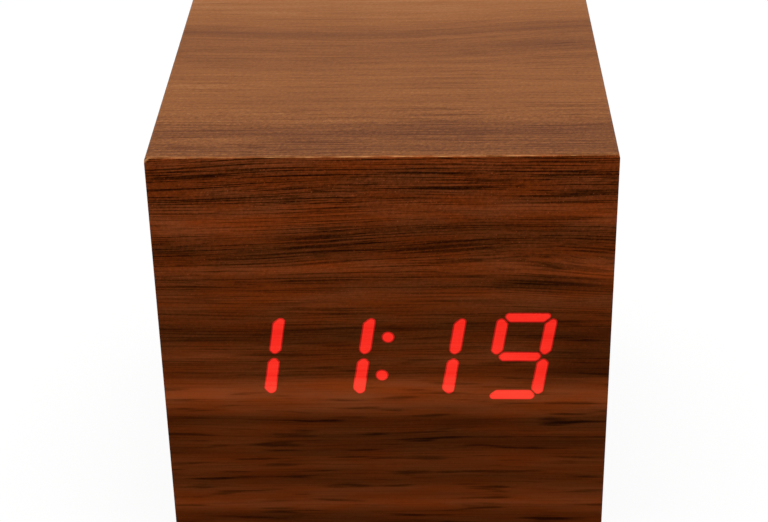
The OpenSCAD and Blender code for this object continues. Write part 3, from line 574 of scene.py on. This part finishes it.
@dataclass(frozen=True)
class RawBoard(Finish):
    """Unfinished wood: fibreboard, or pine where its growth lines show."""

    colour: Colour
    lines: float
    line_rate: float = 3.2
    wander: Noise = Noise((9.0, 30.0, 9.0))
    wander_width: float = 4.0
    fibre: Noise = Noise(0.35, 3.0, 0.7)
    shades: Span = (0.72, 1.12)
    roughness: float = 0.82
    relief: Span = (0.04, 0.6)

    def look(self, place: Place) -> Inputs:
        """The inputs of the surface shader."""
        fibre = self.fibre.at(*place)
        height = place[Axis.Z] + self.wander.at(*place) * self.wander_width
        growth = (height * self.line_rate).wave() * 0.5 + 0.5
        tone = fibre * (1 - self.lines) + growth * self.lines
        return {"Base Color": tone.shade(self.colour, self.shades), "Roughness": self.roughness,
                "Normal": fibre.bump(*self.relief)}


@dataclass(frozen=True)
class CircuitBoard(Finish):
    """Green solder mask over copper tracks on a glass-fibre board."""

    mask: Colour
    track: Colour
    track_rate: float = 2.4
    track_marks: Span = (0.72, 0.8)
    wander_width: float = 6.0
    lane: Noise = Noise((8.0, 1.0, 5.0), 0.0)
    rung: Noise = Noise((5.0, 1.0, 8.0), 0.0)
    rung_seed: float = 3.0
    weave_rate: float = 9.0
    weave_share: float = 0.2
    weave_roughness: float = 0.08
    roughness: float = 0.36
    relief: Span = (0.03, 0.7)

    def look(self, place: Place) -> Inputs:
        """The inputs of the surface shader."""
        x, _, z = place
        lane = x + self.lane.at(x, 0.0, z) * self.wander_width
        rung = z + self.rung.at(x, self.rung_seed, z) * self.wander_width
        tracks = (lane * self.track_rate).wave().larger((rung * self.track_rate).wave())
        copper = tracks.step(*self.track_marks)
        weave = (x * self.weave_rate).wave() * (z * self.weave_rate).wave() * 0.5 + 0.5
        height = copper * (1 - self.weave_share) + weave * self.weave_share
        return {"Base Color": copper.mix(self.mask, self.track),
                "Roughness": self.roughness + weave * self.weave_roughness,
                "Normal": height.bump(*self.relief)}


@dataclass(frozen=True)
class LitVeneer(Finish):
    """A segment's light as it comes through the veneer, dimmed where the grain is dark."""

    sheet: Walnut
    levels: Tones
    body: Colour
    tone_places: tuple[float, ...] = (0.1, 0.42, 0.62, 0.82)
    roughness: float = 0.6
    dark_roughness: float = 0.1
    sheen: float = 0.05

    def look(self, place: Place) -> Inputs:
        """The inputs of the surface shader."""
        tone, dark = self.sheet.grain(place)
        glow = tone.ramp(tuple(zip(self.tone_places, self.levels)))
        return {"Base Color": self.body, "Roughness": self.roughness + dark * self.dark_roughness,
                "Specular IOR Level": self.sheen, "Emission Color": glow, "Emission Strength": 1.0}


@dataclass(frozen=True)
class Insulation(Finish):
    """Soft lead insulation, with grooves between the wires where a ribbon lies along X, darkened in colour
    as a painted shade.
    """

    colour: Colour
    wire_pitch: float = 0.0
    groove_width: float = 0.5
    groove_depth: float = 0.08
    cloud: Noise = Noise((2.0, 4.0, 2.0))
    cloud_share: float = 0.3
    cloud_roughness: float = 0.15
    shades: Span = (0.45, 1.1)
    roughness: float = 0.55

    def look(self, place: Place) -> Inputs:
        """The inputs of the surface shader."""
        cloud = self.cloud.at(*place)
        tone = (1 - self.cloud_share) + self.cloud_share * cloud
        inputs = {"Roughness": self.roughness + cloud * self.cloud_roughness}
        if self.wire_pitch:
            wires = abs((place[Axis.X] * (math.pi / self.wire_pitch)).wave())
            ridge_and_groove_shade = wires.step(0.0, self.groove_width)
            # The grooves are darkened in colour as well as sunk: a painted shade.
            tone = ridge_and_groove_shade * tone
            inputs["Normal"] = ridge_and_groove_shade.bump(self.groove_depth)
        return inputs | {"Base Color": tone.shade(self.colour, self.shades)}


@dataclass(frozen=True)
class CellWrap(Finish):
    """A cell's plain printed sleeve: a coloured shoulder at the button end, a thin pale ring, and painted
    sheen in pale streaks.
    """

    button_end: float
    direction: float
    body: Colour = srgb(176, 179, 183)
    shoulder: Colour = srgb(52, 60, 74)
    ring: Colour = srgb(226, 226, 224)
    shoulder_l: float = 12.0
    shoulder_blur: float = 0.15
    ring_gap: float = 0.8
    ring_fade: Span = (0.5, 0.38)
    line: Noise = Noise((14.0, 0.25, 0.25))
    shine_marks: Span = (0.35, 0.75)
    shine_share: float = 0.09
    shine_shade: float = 0.9
    line_roughness: float = 0.12
    line_coat: float = 0.1
    roughness: float = 0.3
    metallic: float = 0.35
    coat: float = 0.5
    coat_roughness: float = 0.12

    def look(self, place: Place) -> Inputs:
        """The inputs of the surface shader."""
        depth = (place[Axis.X] - self.button_end) * self.direction
        line = self.line.at(*place)
        edge = depth.step(self.shoulder_l, self.shoulder_l - self.shoulder_blur)
        ring = abs(depth - self.shoulder_l - self.ring_gap).step(*self.ring_fade)
        # Pale streaks along the cell, blended towards the ring's white: a painted sheen.
        drawn = line.step(*self.shine_marks) * self.shine_share
        colour = ring.mix(edge.mix(self.body, self.shoulder), self.ring)
        return {"Base Color": drawn.mix(colour, scaled(self.ring, self.shine_shade)),
                "Roughness": self.roughness + line * self.line_roughness, "Metallic": self.metallic,
                "Coat Weight": self.coat + line * self.line_coat, "Coat Roughness": self.coat_roughness}


@dataclass(frozen=True)
class Printed(Finish):
    """Matt plastic with its raised sign printed in a pale ink."""

    base: Moulded
    ink: Colour
    sign_from: float
    sign_blur: float = 0.03
    wear: Noise = Noise(0.5, 3.0, 0.7)
    wear_marks: Span = (0.25, 0.42)
    grit_marks: Span = (0.2, 0.8)
    shades: Span = (0.85, 1.25)

    def look(self, place: Place) -> Inputs:
        """The inputs of the surface shader."""
        grit, rough, normal = self.base.surface(place)
        kept = self.wear.at(*place).step(*self.wear_marks)
        inked = place[Axis.Y].step(self.sign_from - self.sign_blur, self.sign_from) * kept
        plain = grit.step(*self.grit_marks).shade(self.base.colour, self.shades)
        return {"Base Color": inked.mix(plain, self.ink), "Roughness": rough, "Normal": normal}


def level_with(depth: float, *ends: Vector) -> bool:
    """Whether points lie at one depth along Y, in metres."""
    return all(abs(end.y - depth) < TOUCH for end in ends)


class Piece:
    """An object with the modelling steps on it, each of which selects it alone. Sizes are in mm."""

    def __init__(self, thing: Object) -> None:
        """Wraps an object."""
        self.thing = thing

    @classmethod
    def new(cls, name: str, mesh: bpy.types.Mesh) -> "Piece":
        """A new piece with a copy of a mesh.

        Args:
            name: its name.
            mesh: the mesh.

        Returns:
            The piece.
        """
        thing = bpy.data.objects.new(name, mesh.copy())
        thing.data.name = name
        bpy.context.scene.collection.objects.link(thing)
        return cls(thing)

    @classmethod
    def copy_of(cls, node: str, name: str) -> "Piece":
        """A piece with a CAD node's shape, merged and with its flat faces whole.

        Args:
            node: the CAD node.
            name: the new piece's name.

        Returns:
            The piece.
        """
        piece = cls.new(name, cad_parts[node].data)
        piece.thing.data.materials.clear()
        piece.open()
        bpy.ops.mesh.remove_doubles(threshold=MERGE)
        bpy.ops.mesh.dissolve_limited(angle_limit=FLAT_ANGLE)
        piece.close()
        return piece

    def pick(self) -> None:
        """Makes it the only selected and active one."""
        bpy.ops.object.select_all(action="DESELECT")
        self.thing.select_set(True)
        bpy.context.view_layer.objects.active = self.thing

    def open(self, kind: str = "VERT", action: str = "SELECT") -> bmesh.types.BMesh:
        """Opens it for editing.

        Args:
            kind: what is selected in it: VERT, EDGE or FACE.
            action: SELECT to start with all of it, DESELECT to start with nothing.

        Returns:
            Its open shape.
        """
        self.pick()
        bpy.ops.object.mode_set(mode="EDIT")
        bpy.ops.mesh.select_mode(type=kind)
        bpy.ops.mesh.select_all(action=action)
        return bmesh.from_edit_mesh(self.thing.data)

    def open_facing(self, way: Vector) -> None:
        """Opens it for editing, with only the faces selected that look one way."""
        shape = self.open("FACE", "DESELECT")
        for face in shape.faces:
            face.select_set(face.normal.dot(way) > FACING)
        bmesh.update_edit_mesh(self.thing.data)

    def close(self) -> None:
        """Ends the editing."""
        bpy.ops.object.mode_set(mode="OBJECT")

    def round_edges(self, width: float, segments: int, wanted: EdgeTest | None = None) -> None:
        """Bevels its sharp edges and shades it smooth over them, with its large faces kept flat.

        Args:
            width: the bevel's width.
            segments: the number of faces across it.
            wanted: says from an edge's two ends whether it is bevelled.
        """
        shape = self.open("EDGE", "DESELECT")
        for edge in shape.edges:
            sharp = len(edge.link_faces) == 2 and edge.calc_face_angle() > SHARP_ANGLE
            if sharp and (wanted is None or wanted(edge.verts[0].co, edge.verts[1].co)):
                edge.select_set(True)
        bmesh.update_edit_mesh(self.thing.data)
        bpy.ops.mesh.bevel(offset=width * MM, segments=segments, clamp_overlap=True)
        bpy.ops.mesh.select_all(action="SELECT")
        bpy.ops.mesh.remove_doubles(threshold=MERGE)
        bpy.ops.mesh.dissolve_degenerate(threshold=MERGE)
        self.close()
        bpy.ops.object.shade_smooth_by_angle(angle=SMOOTH_ANGLE)
        even = self.thing.modifiers.new("even_normals", "WEIGHTED_NORMAL")
        even.keep_sharp = True
        bpy.ops.object.modifier_apply(modifier=even.name)

    def cut_off(self, place: Vector, outward: Vector) -> None:
        """Cuts it along a plane and closes the cut.

        Args:
            place: a point of the plane.
            outward: the plane's normal, towards what is cut off.
        """
        self.open()
        bpy.ops.mesh.bisect(plane_co=place * MM, plane_no=outward.normalized(), use_fill=True,
                            clear_outer=True)
        self.close()

    def step_face(self, way: float, steps: Sequence[Span]) -> None:
        """Insets the end face of a rod along X and pushes it, step by step.

        Args:
            way: -1 for the left end, 1 for the right one.
            steps: for each step the inset and the push outwards.
        """
        self.open_facing(Vector((way, 0.0, 0.0)))
        for inset, push in steps:
            bpy.ops.mesh.inset(thickness=inset * MM)
            bpy.ops.mesh.extrude_region_move(TRANSFORM_OT_translate={"value": (way * push * MM, 0.0, 0.0)})
        self.close()

    def dress(self, *materials: Material) -> None:
        """Fills its material slots in turn, and leaves its faces in the slots that they are in."""
        slots = self.thing.data.materials
        for index, material in enumerate(materials):
            if index < len(slots):
                slots[index] = material
            else:
                slots.append(material)


@dataclass(frozen=True)
class Seat:
    """A finished piece's place: the CAD node that it replaces and its body; its material slot is not used.
    """

    node: str
    body: str
    slot: str

    def take(self, piece: Piece) -> None:
        """Puts a piece in the place."""
        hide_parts(self.node)
        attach(piece.thing, self.body)
        LOG.info("piece %s for %s on %s", piece.thing.name, self.node, self.body)

    def fill(self, piece: Piece, material: Material, width: float, wanted: EdgeTest | None = None,
             segments: int = 2) -> None:
        """Softens a piece's edges, dresses it and puts it in the place.

        Args:
            piece: the piece.
            material: its material.
            width: the width of its softened edges, in mm.
            wanted: says from an edge's two ends whether it is softened.
            segments: the number of faces across them.
        """
        piece.round_edges(width, segments, wanted)
        piece.dress(material)
        self.take(piece)

    def make(self, name: str, *how: Any) -> None:
        """Fills the place with a copy of its node, and passes what else it is given to fill."""
        self.fill(Piece.copy_of(self.node, name), *how)


def dress_nodes(finish: Finish, *names: str) -> None:
    """Gives CAD nodes a finish.

    Args:
        finish: the finish.
        names: the nodes.
    """
    material = finish.material()
    for name in names:
        Piece(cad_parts[name]).dress(material)
        LOG.info("node %s in %s", name, material.name)


# The walnut is one veneer: its tones are painted lighter and yellower on the top, darker on the front, and
# between on the sides and back, as painted light and shade.
FRONT_SHADED_TONES = (srgb(38, 12, 0), srgb(84, 39, 10), srgb(124, 60, 25), srgb(165, 82, 41))
TOP_LIT_TONES = (srgb(96, 52, 24), srgb(124, 72, 35), srgb(150, 92, 47), srgb(178, 127, 85))
SIDE_HALF_LIT_TONES = (srgb(56, 26, 9), srgb(94, 48, 20), srgb(126, 68, 31), srgb(158, 94, 48))

# Growth bands: places across the sheet, from 0 to 1, each with its tone.
FRONT_BANDS = (
    (0.000, 0.50), (0.067, 0.43), (0.112, 0.71), (0.142, 0.54), (0.185, 0.42), (0.212, 0.52), (0.278, 0.35),
    (0.305, 0.42), (0.340, 0.37), (0.372, 0.70), (0.408, 0.86), (0.440, 0.69), (0.466, 0.46), (0.495, 0.55),
    (0.525, 0.50), (0.563, 0.38), (0.620, 0.50), (0.657, 0.67), (0.695, 0.50), (0.728, 0.70), (0.765, 0.45),
    (0.800, 0.48), (0.835, 0.68), (0.870, 0.76), (0.915, 0.60), (0.965, 0.61), (1.000, 0.71)
)
TOP_BANDS = (
    (0.00, 0.58), (0.04, 0.37), (0.09, 0.40), (0.125, 0.24), (0.155, 0.36), (0.19, 0.52), (0.36, 0.56),
    (0.45, 0.54), (0.56, 0.45), (0.65, 0.46), (0.675, 0.31), (0.70, 0.44), (0.75, 0.59), (0.86, 0.68),
    (1.00, 0.86)
)

# How much fine grain shows at places across the sheet.
FRONT_DENSITY = ((0.0, 0.14), (0.35, 0.14), (0.62, 0.36), (0.76, 0.6), (0.86, 0.7), (0.92, 1.0), (1.0, 1.0))
TOP_DENSITY = ((0.0, 0.9), (0.16, 0.8), (0.3, 0.45), (1.0, 0.3))
SIDE_DENSITY = ((0.0, 0.9), (0.16, 0.8), (0.3, 0.66), (1.0, 0.6))

# Lifts move the growth lines by mm, and patches lighten or darken the sheet.
FRONT_LIFTS = (
    Spot(18.0, 51.5, 54.0, 7.0, 2.4),
    Spot(36.0, 43.0, 24.0, 7.0, -1.2),
    Spot(-34.0, 60.0, 30.0, 8.0, -1.0)
)
FRONT_PATCHES = (
    Spot(-24.0, 52.5, 18.0, 3.2, 0.16),
    Spot(31.0, 46.0, 10.0, 3.0, 0.20),
    Spot(31.0, 53.5, 9.0, 2.4, 0.18),
    Spot(21.0, 44.0, 12.0, 1.9, -0.22),
    Spot(-24.0, 32.6, 12.0, 1.8, 0.15),
    Spot(-22.0, 18.0, 15.0, 4.0, 0.10),
    Spot(22.0, 22.4, 13.0, 1.6, 0.14),
    Spot(28.0, 31.0, 13.0, 6.0, -0.20),
    Spot(-2.0, 27.5, 22.0, 2.4, 0.16),
    Spot(-26.0, 26.5, 14.0, 2.6, 0.12)
)
TOP_LIFTS = (
    Spot(-34.0, 13.0, 34.0, 22.0, 1.6),
    Spot(36.0, 13.0, 36.0, 22.0, 3.6)
)
TOP_PATCHES = (
    Spot(26.0, 7.5, 14.0, 3.4, -0.16),
    Spot(-26.0, -8.0, 16.0, 5.0, 0.10),
    Spot(-27.0, -24.0, 16.0, 14.0, 0.10),
    Spot(12.0, -13.0, 16.0, 3.0, -0.06)
)

FRONT = Walnut("walnut_front", Run(Axis.X), Run(Axis.Z), FRONT_SHADED_TONES, FRONT_BANDS, FRONT_DENSITY,
               seed=3.0, lifts=FRONT_LIFTS, patches=FRONT_PATCHES, speck=0.55,
               turn=(1.0, 0.77, 0.42, 1.0), worn_and_lit=WornAndLitRim(-HALF), sheen=0.012, roughness=0.5)
BACK = Walnut("walnut_back", Run(Axis.X), Run(Axis.Z), SIDE_HALF_LIT_TONES, FRONT_BANDS, FRONT_DENSITY,
              seed=29.0, lifts=FRONT_LIFTS, broad=0.24, streak=0.3)


@dataclass
class CaseWork:
    """The folded case, its front sheet and its back board."""

    rim: float = 0.25
    rim_segments: int = 3
    front_rim: float = 0.16
    front_rim_reach: float = 0.45
    back_rim: float = 0.15
    screw_rim: float = 0.08
    chip: float = 0.95
    chip_depth: float = 0.7

    def build(self) -> None:
        """Makes and dresses the pieces."""
        self.front_sheet()
        self.fold("top", Run(Axis.X), Run(Axis.Z, SIDE, -1.0), TOP_LIT_TONES, TOP_DENSITY, SIDE_HALF_LIT_TONES)
        self.fold("right", Run(Axis.Z, HALF + SIDE, -1.0), Run(Axis.X, HALF, -1.0))
        self.fold("left", Run(Axis.Z, -HALF - SIDE), Run(Axis.X, HALF))
        self.fold("bottom", Run(Axis.X, 2 * SIDE, -1.0), Run(Axis.Z))
        self.back_board()
        dress_nodes(RawBoard("fibreboard", srgb(169, 130, 88), 0.05), "front_panel")
        dress_nodes(RawBoard("pine", srgb(207, 168, 115), 0.6), "corner_blocks")

    def front_sheet(self) -> None:
        """The front veneer: its rim is rounded by wear and one corner is chipped."""
        seat = Seat("front_veneer", "case", "walnut")
        piece = Piece.copy_of(seat.node, "front_sheet")
        reach = (HALF - self.front_rim_reach) * MM

        def on_rim(a: Vector, b: Vector) -> bool:
            """Whether an edge lies on the front rim."""
            middle = (a + b) / 2
            outside = abs(middle.x) > reach or abs(middle.z - HALF * MM) > reach
            return outside and level_with(-HALF * MM, a, b)

        chip_end = Vector((self.chip - HALF, -HALF, SIDE))
        piece.cut_off(chip_end, Vector((-1.0 / self.chip, -1.0 / self.chip_depth, 1.0 / self.chip)))
        seat.fill(piece, FRONT.material(), self.front_rim, on_rim, self.rim_segments)

    def fold(self, place: str, along: Run, wrap: Run, tones: Tones = SIDE_HALF_LIT_TONES,
             density: Stops = SIDE_DENSITY, rim_tones: Tones | None = None) -> None:
        """One side of the folded case: the grain runs on round its corners, and its rear rim is softened.

        Args:
            place: the side's name.
            along: the place along the unfolded sheet.
            wrap: the depth below the panel's face.
            tones: the tones of the veneer.
            density: how much fine grain it shows from the front to the back.
            rim_tones: the tones of its rims, where they differ; the top's rims take the sides' tones, a
                painted shade where it turns down.
        """
        def on_rim(a: Vector, b: Vector) -> bool:
            """Whether an edge is a long one of the rear rim."""
            return level_with(HALF * MM, a, b) and (a - b).length > LONG_EDGE

        veneer = Walnut("walnut_" + place, along, Run(Axis.Y), tones, TOP_BANDS, density, seed=11.0,
                        lifts=TOP_LIFTS, patches=TOP_PATCHES, band_low=-HALF, wrap=wrap,
                        rim_tones=rim_tones, broad=0.2, lens=0.5, fine=0.26, mottle=0.8)
        seat = Seat(place + "_panel", "case", "walnut")
        seat.make(place + "_board", veneer.material(), self.rim, on_rim, self.rim_segments)

    def back_board(self) -> None:
        """The back panel, with softened holes and edges, and its screws."""
        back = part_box("back_panel")[1].y
        seat = Seat("back_panel", "case", "walnut")
        seat.make("back_board", BACK.material(), self.back_rim, lambda a, b: level_with(back, a, b))
        steel = Metal("screw_steel", srgb(190, 191, 192)).material()
        Seat("back_screws", "case", "steel").make("case_screws", steel, self.screw_rim)


@dataclass
class Display:
    """The LED block: lit segments glow through the front, the rest stays dark."""

    light: Tones = (srgb(236, 32, 21), srgb(249, 43, 30), srgb(252, 54, 39), srgb(253, 66, 48))
    edge: Tones = (srgb(140, 14, 9), srgb(178, 24, 16), srgb(226, 43, 30), srgb(248, 60, 44))
    body: Colour = srgb(40, 4, 3)
    fringe: float = 0.16

    def build(self) -> None:
        """Makes the glowing pieces and dresses the block behind the front."""
        glow = LitVeneer("lit_segment", FRONT, self.light, self.body).material()
        rim = LitVeneer("lit_rim", FRONT, self.edge, self.body).material()
        for node, name in (("lit_segments", "glow_bars"), ("colon_dots", "glow_dots")):
            piece = Piece.copy_of(node, name)
            self.frame_faces(piece)
            piece.dress(glow, rim)
            Seat(node, "case", "lit_red").take(piece)
        dress_nodes(Moulded("unlit_diffuser", srgb(58, 13, 10), 0.3), "dark_segments")
        dress_nodes(Moulded("housing_black", srgb(27, 26, 26)), "display_housing")
        dress_nodes(Metal("pin_tin", srgb(200, 200, 198)), "display_pins")

    def frame_faces(self, piece: Piece) -> None:
        """Insets each face at the front, so that a fringe runs round it where the light fades."""
        piece.open_facing(Vector((0.0, -1.0, 0.0)))
        bpy.ops.mesh.inset(thickness=self.fringe * MM, use_individual=True)
        shape = bmesh.from_edit_mesh(piece.thing.data)
        for face in shape.faces:
            face.material_index = 0 if face.select else 1
        bmesh.update_edit_mesh(piece.thing.data)
        piece.close()


class Electronics:
    """The three boards and what they carry."""

    @staticmethod
    def build() -> None:
        """Dresses the nodes inside the case."""
        dress_nodes(CircuitBoard("solder_mask", srgb(24, 78, 44), srgb(38, 104, 58)),
                    "main_board", "button_board", "control_board")
        dress_nodes(Metal("plated_steel", srgb(195, 197, 199)),
                    "board_screws", "tray_screws", "rear_board_screws", "chip_leads", "crystal",
                    "contact_plates", "contact_springs", "microphone", "switch_shell")
        dress_nodes(Metal("brass_pin", srgb(201, 165, 78), 0.22), "jack_pin")
        dress_nodes(Moulded("nylon", srgb(230, 226, 214), 0.45, 0.3),
                    "board_spacers", "rear_spacers", "lead_sockets", "set_plunger", "up_plunger",
                    "down_plunger")
        dress_nodes(Moulded("chip_epoxy", srgb(30, 30, 31), 0.6, 0.1),
                    "clock_chip", "buzzer", "tact_switches")
        dress_nodes(Moulded("capacitor_sleeve", srgb(43, 59, 99), 0.25), "capacitor")
        dress_nodes(Insulation("lead_red", srgb(181, 34, 28)), "battery_lead_red")
        dress_nodes(Insulation("lead_black", srgb(32, 32, 34)), "battery_lead_black")
        dress_nodes(Insulation("ribbon_grey", srgb(143, 146, 150), 1.0), "button_ribbon", "control_ribbon")


@dataclass
class BatteryBay:
    """The bay, its hinged door and its cells."""

    plastic: Moulded = Moulded("bay_black", srgb(26, 25, 25), 0.48)
    tray_rim: float = 0.1
    door_rim: float = 0.12
    cell_names: tuple[str, ...] = ("cell_low", "cell_middle", "cell_high")
    cell_d: float = 10.5
    cell_sides: int = 48
    cell_pitch: float = 10.9
    cell_rim: float = 0.18
    cell_rim_segments: int = 3
    nub_d: float = 3.8
    nub_h: float = 1.0
    spring_room: float = 3.7
    lip: float = 0.65
    lip_depth: float = 0.2
    lip_margin: float = 0.1

    def build(self) -> None:
        """Makes and dresses the pieces."""
        self.cells()
        black = self.plastic.material()
        Seat("battery_tray", "case", "black_plastic").make("bay_frame", black, self.tray_rim)
        Seat("battery_door", "battery_door", "black_plastic").make("bay_door", black, self.door_rim)

    def cells(self) -> None:
        """Three cells, turn about, each a copy of one that is modelled at the origin."""
        seat = Seat("aaa_cells", "case", "cell_wrap")
        low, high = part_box(seat.node)
        reach = high.x / MM
        steel = Metal("cell_steel", srgb(205, 206, 207), 0.25).material()
        model = self.model_cell(reach)
        for index, name in enumerate(self.cell_names):
            piece = Piece.new(name, model.thing.data)
            end = 1.0 if index % 2 else -1.0
            height = low.z + (self.cell_d / 2 + index * self.cell_pitch) * MM
            piece.thing.rotation_euler.z = math.pi if end > 0 else 0.0
            piece.thing.location = (0.0, (low.y + high.y) / 2, height)
            piece.pick()
            bpy.ops.object.transform_apply()
            wrap = CellWrap("cell_wrap_" + name, end * (reach - self.nub_h), -end)
            piece.dress(wrap.material(), steel)
            seat.take(piece)
        bpy.data.objects.remove(model.thing)

    def model_cell(self, reach: float) -> Piece:
        """A cell along X with its button to the left: rolled lips, a plate in each end and the button.

        Args:
            reach: how far the cells reach from the origin to each side, in mm.

        Returns:
            The cell.
        """
        left, right = self.nub_h - reach, reach - self.spring_room
        bpy.ops.object.select_all(action="DESELECT")
        bpy.ops.mesh.primitive_cylinder_add(vertices=self.cell_sides, radius=self.cell_d / 2 * MM,
                                            depth=(right - left) * MM, rotation=(0.0, math.pi / 2, 0.0),
                                            location=((left + right) / 2 * MM, 0.0, 0.0))
        bpy.ops.object.transform_apply()
        piece = Piece(bpy.context.object)
        to_nub = (self.cell_d - self.nub_d) / 2 - self.lip
        piece.step_face(-1.0, ((self.lip, -self.lip_depth), (to_nub, self.lip_depth + self.nub_h)))
        piece.step_face(1.0, ((self.lip, -self.lip_depth), (to_nub / 2, self.lip_depth / 2)))
        piece.round_edges(self.cell_rim, self.cell_rim_segments)
        bare = (self.cell_d / 2 - self.lip - self.lip_margin) * MM
        for face in piece.thing.data.polygons:
            face.material_index = 1 if math.hypot(face.center.y, face.center.z) < bare else 0
        return piece


@dataclass
class Controls:
    """The push buttons, the slide switch's knob and the power inlet."""

    plastic: Moulded = Moulded("button_black", srgb(34, 33, 33), 0.42)
    ink: Colour = srgb(205, 203, 198)
    sign_h: float = 0.1
    button_rim: float = 0.12
    inlet_rim: float = 0.1

    def build(self) -> None:
        """Makes and dresses the pieces."""
        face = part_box("up_button")[1].y / MM - self.sign_h
        printed = Printed("button_print", self.plastic, self.ink, face).material()
        for place in ("set", "up", "down"):
            button = place + "_button"
            Seat(button, button, "black_plastic").make(place + "_cap", printed, self.button_rim)
        black = self.plastic.material()
        Seat("switch_knob", "switch_knob", "black_plastic").make("slide_knob", black, self.button_rim)
        Seat("power_jack", "case", "black_plastic").make("power_inlet", black, self.inlet_rim)


@dataclass
class Studio:
    """The floor, the lights and the camera of the photograph, in metres, with the lens in mm."""

    place: Triple = (0.006204, -0.248877, 0.168836)
    yaw: float = math.radians(-1.607)
    pitch: float = math.radians(29.141)
    roll: float = math.radians(-1.1)
    lens: float = 84.928
    sensor: float = 36.0
    near: float = 0.01
    ambient: float = 0.36
    lamp_place: Triple = (0.0, 0.12, 0.9)
    lamp_aim: Triple = (0.0, 0.0, 0.03)
    lamp_side: float = 0.9
    lamp_watts: float = 6.6
    floor_size: float = 12.0
    floor_gap: float = 0.0001
    floor_show: float = 0.86
    floor_white: float = 1.05
    floor_grey: Colour = (0.8, 0.8, 0.8, 1.0)

    def build(self) -> None:
        """Sets the stage."""
        bpy.context.scene.view_settings.view_transform = "Standard"
        self.camera()
        self.floor()
        self.world()
        self.lamp()

    def camera(self) -> None:
        """The camera at the photograph's place."""
        lens = bpy.data.cameras.new("photo_camera")
        lens.lens = self.lens
        lens.sensor_width = self.sensor
        lens.clip_start = self.near
        camera = bpy.data.objects.new("photo_camera", lens)
        bpy.context.scene.collection.objects.link(camera)
        ahead = Vector((math.sin(self.yaw) * math.cos(self.pitch),
                        math.cos(self.yaw) * math.cos(self.pitch), -math.sin(self.pitch)))
        right = Vector((math.cos(self.yaw), -math.sin(self.yaw), 0.0))
        up = right.cross(ahead)
        side = math.cos(self.roll) * right + math.sin(self.roll) * up
        top = math.cos(self.roll) * up - math.sin(self.roll) * right
        turn = Matrix((side, top, -ahead)).transposed().to_4x4()
        camera.matrix_world = Matrix.Translation(self.place) @ turn
        bpy.context.scene.camera = camera

    @staticmethod
    def seen(paint: Paint) -> Field:
        """1 on rays that show a background: straight, mirrored or through glass."""
        path = paint.node("LightPath")
        shown = path.output("Is Camera Ray").larger(path.output("Is Glossy Ray"))
        return shown.larger(path.output("Is Transmission Ray"))

    def floor(self) -> None:
        """A white floor that keeps a soft shadow."""
        bpy.ops.object.select_all(action="DESELECT")
        bpy.ops.mesh.primitive_plane_add(size=self.floor_size, location=(0.0, 0.0, -self.floor_gap))
        floor = bpy.context.object
        floor.name = "floor"
        paint = Paint(bpy.data.materials.new("floor_white"))
        matt = paint.node("BsdfDiffuse", {"Color": self.floor_grey})
        bright = paint.node("Emission", {"Color": WHITE, "Strength": self.floor_white})
        mixed = paint.node("MixShader", {0: self.seen(paint) * self.floor_show, 1: matt, 2: bright})
        paint.node("OutputMaterial", {"Surface": mixed})
        Piece(floor).dress(paint.owner)

    def world(self) -> None:
        """A white surround that lights the object at a plain level."""
        world = bpy.data.worlds.new("studio")
        bpy.context.scene.world = world
        paint = Paint(world)
        light = self.seen(paint) * (1.0 - self.ambient) + self.ambient
        sky = paint.node("Background", {"Color": WHITE, "Strength": light})
        paint.node("OutputWorld", {"Surface": sky})

    def lamp(self) -> None:
        """A square soft light overhead that points at the clock."""
        lamp = bpy.data.lights.new("overhead", "AREA")
        lamp.size = self.lamp_side
        lamp.energy = self.lamp_watts
        holder = bpy.data.objects.new("overhead", lamp)
        bpy.context.scene.collection.objects.link(holder)
        holder.location = self.lamp_place
        aim = Vector(self.lamp_aim) - Vector(self.lamp_place)
        holder.rotation_euler = aim.to_track_quat("-Z", "Y").to_euler()


def main() -> None:
    """Builds the clock's looks and its stage."""
    logging.basicConfig(level=logging.INFO, format="%(name)s: %(message)s")
    for section in (CaseWork(), Display(), Electronics(), BatteryBay(), Controls(), Studio()):
        section.build()


if __name__ == "__main__":
    main()
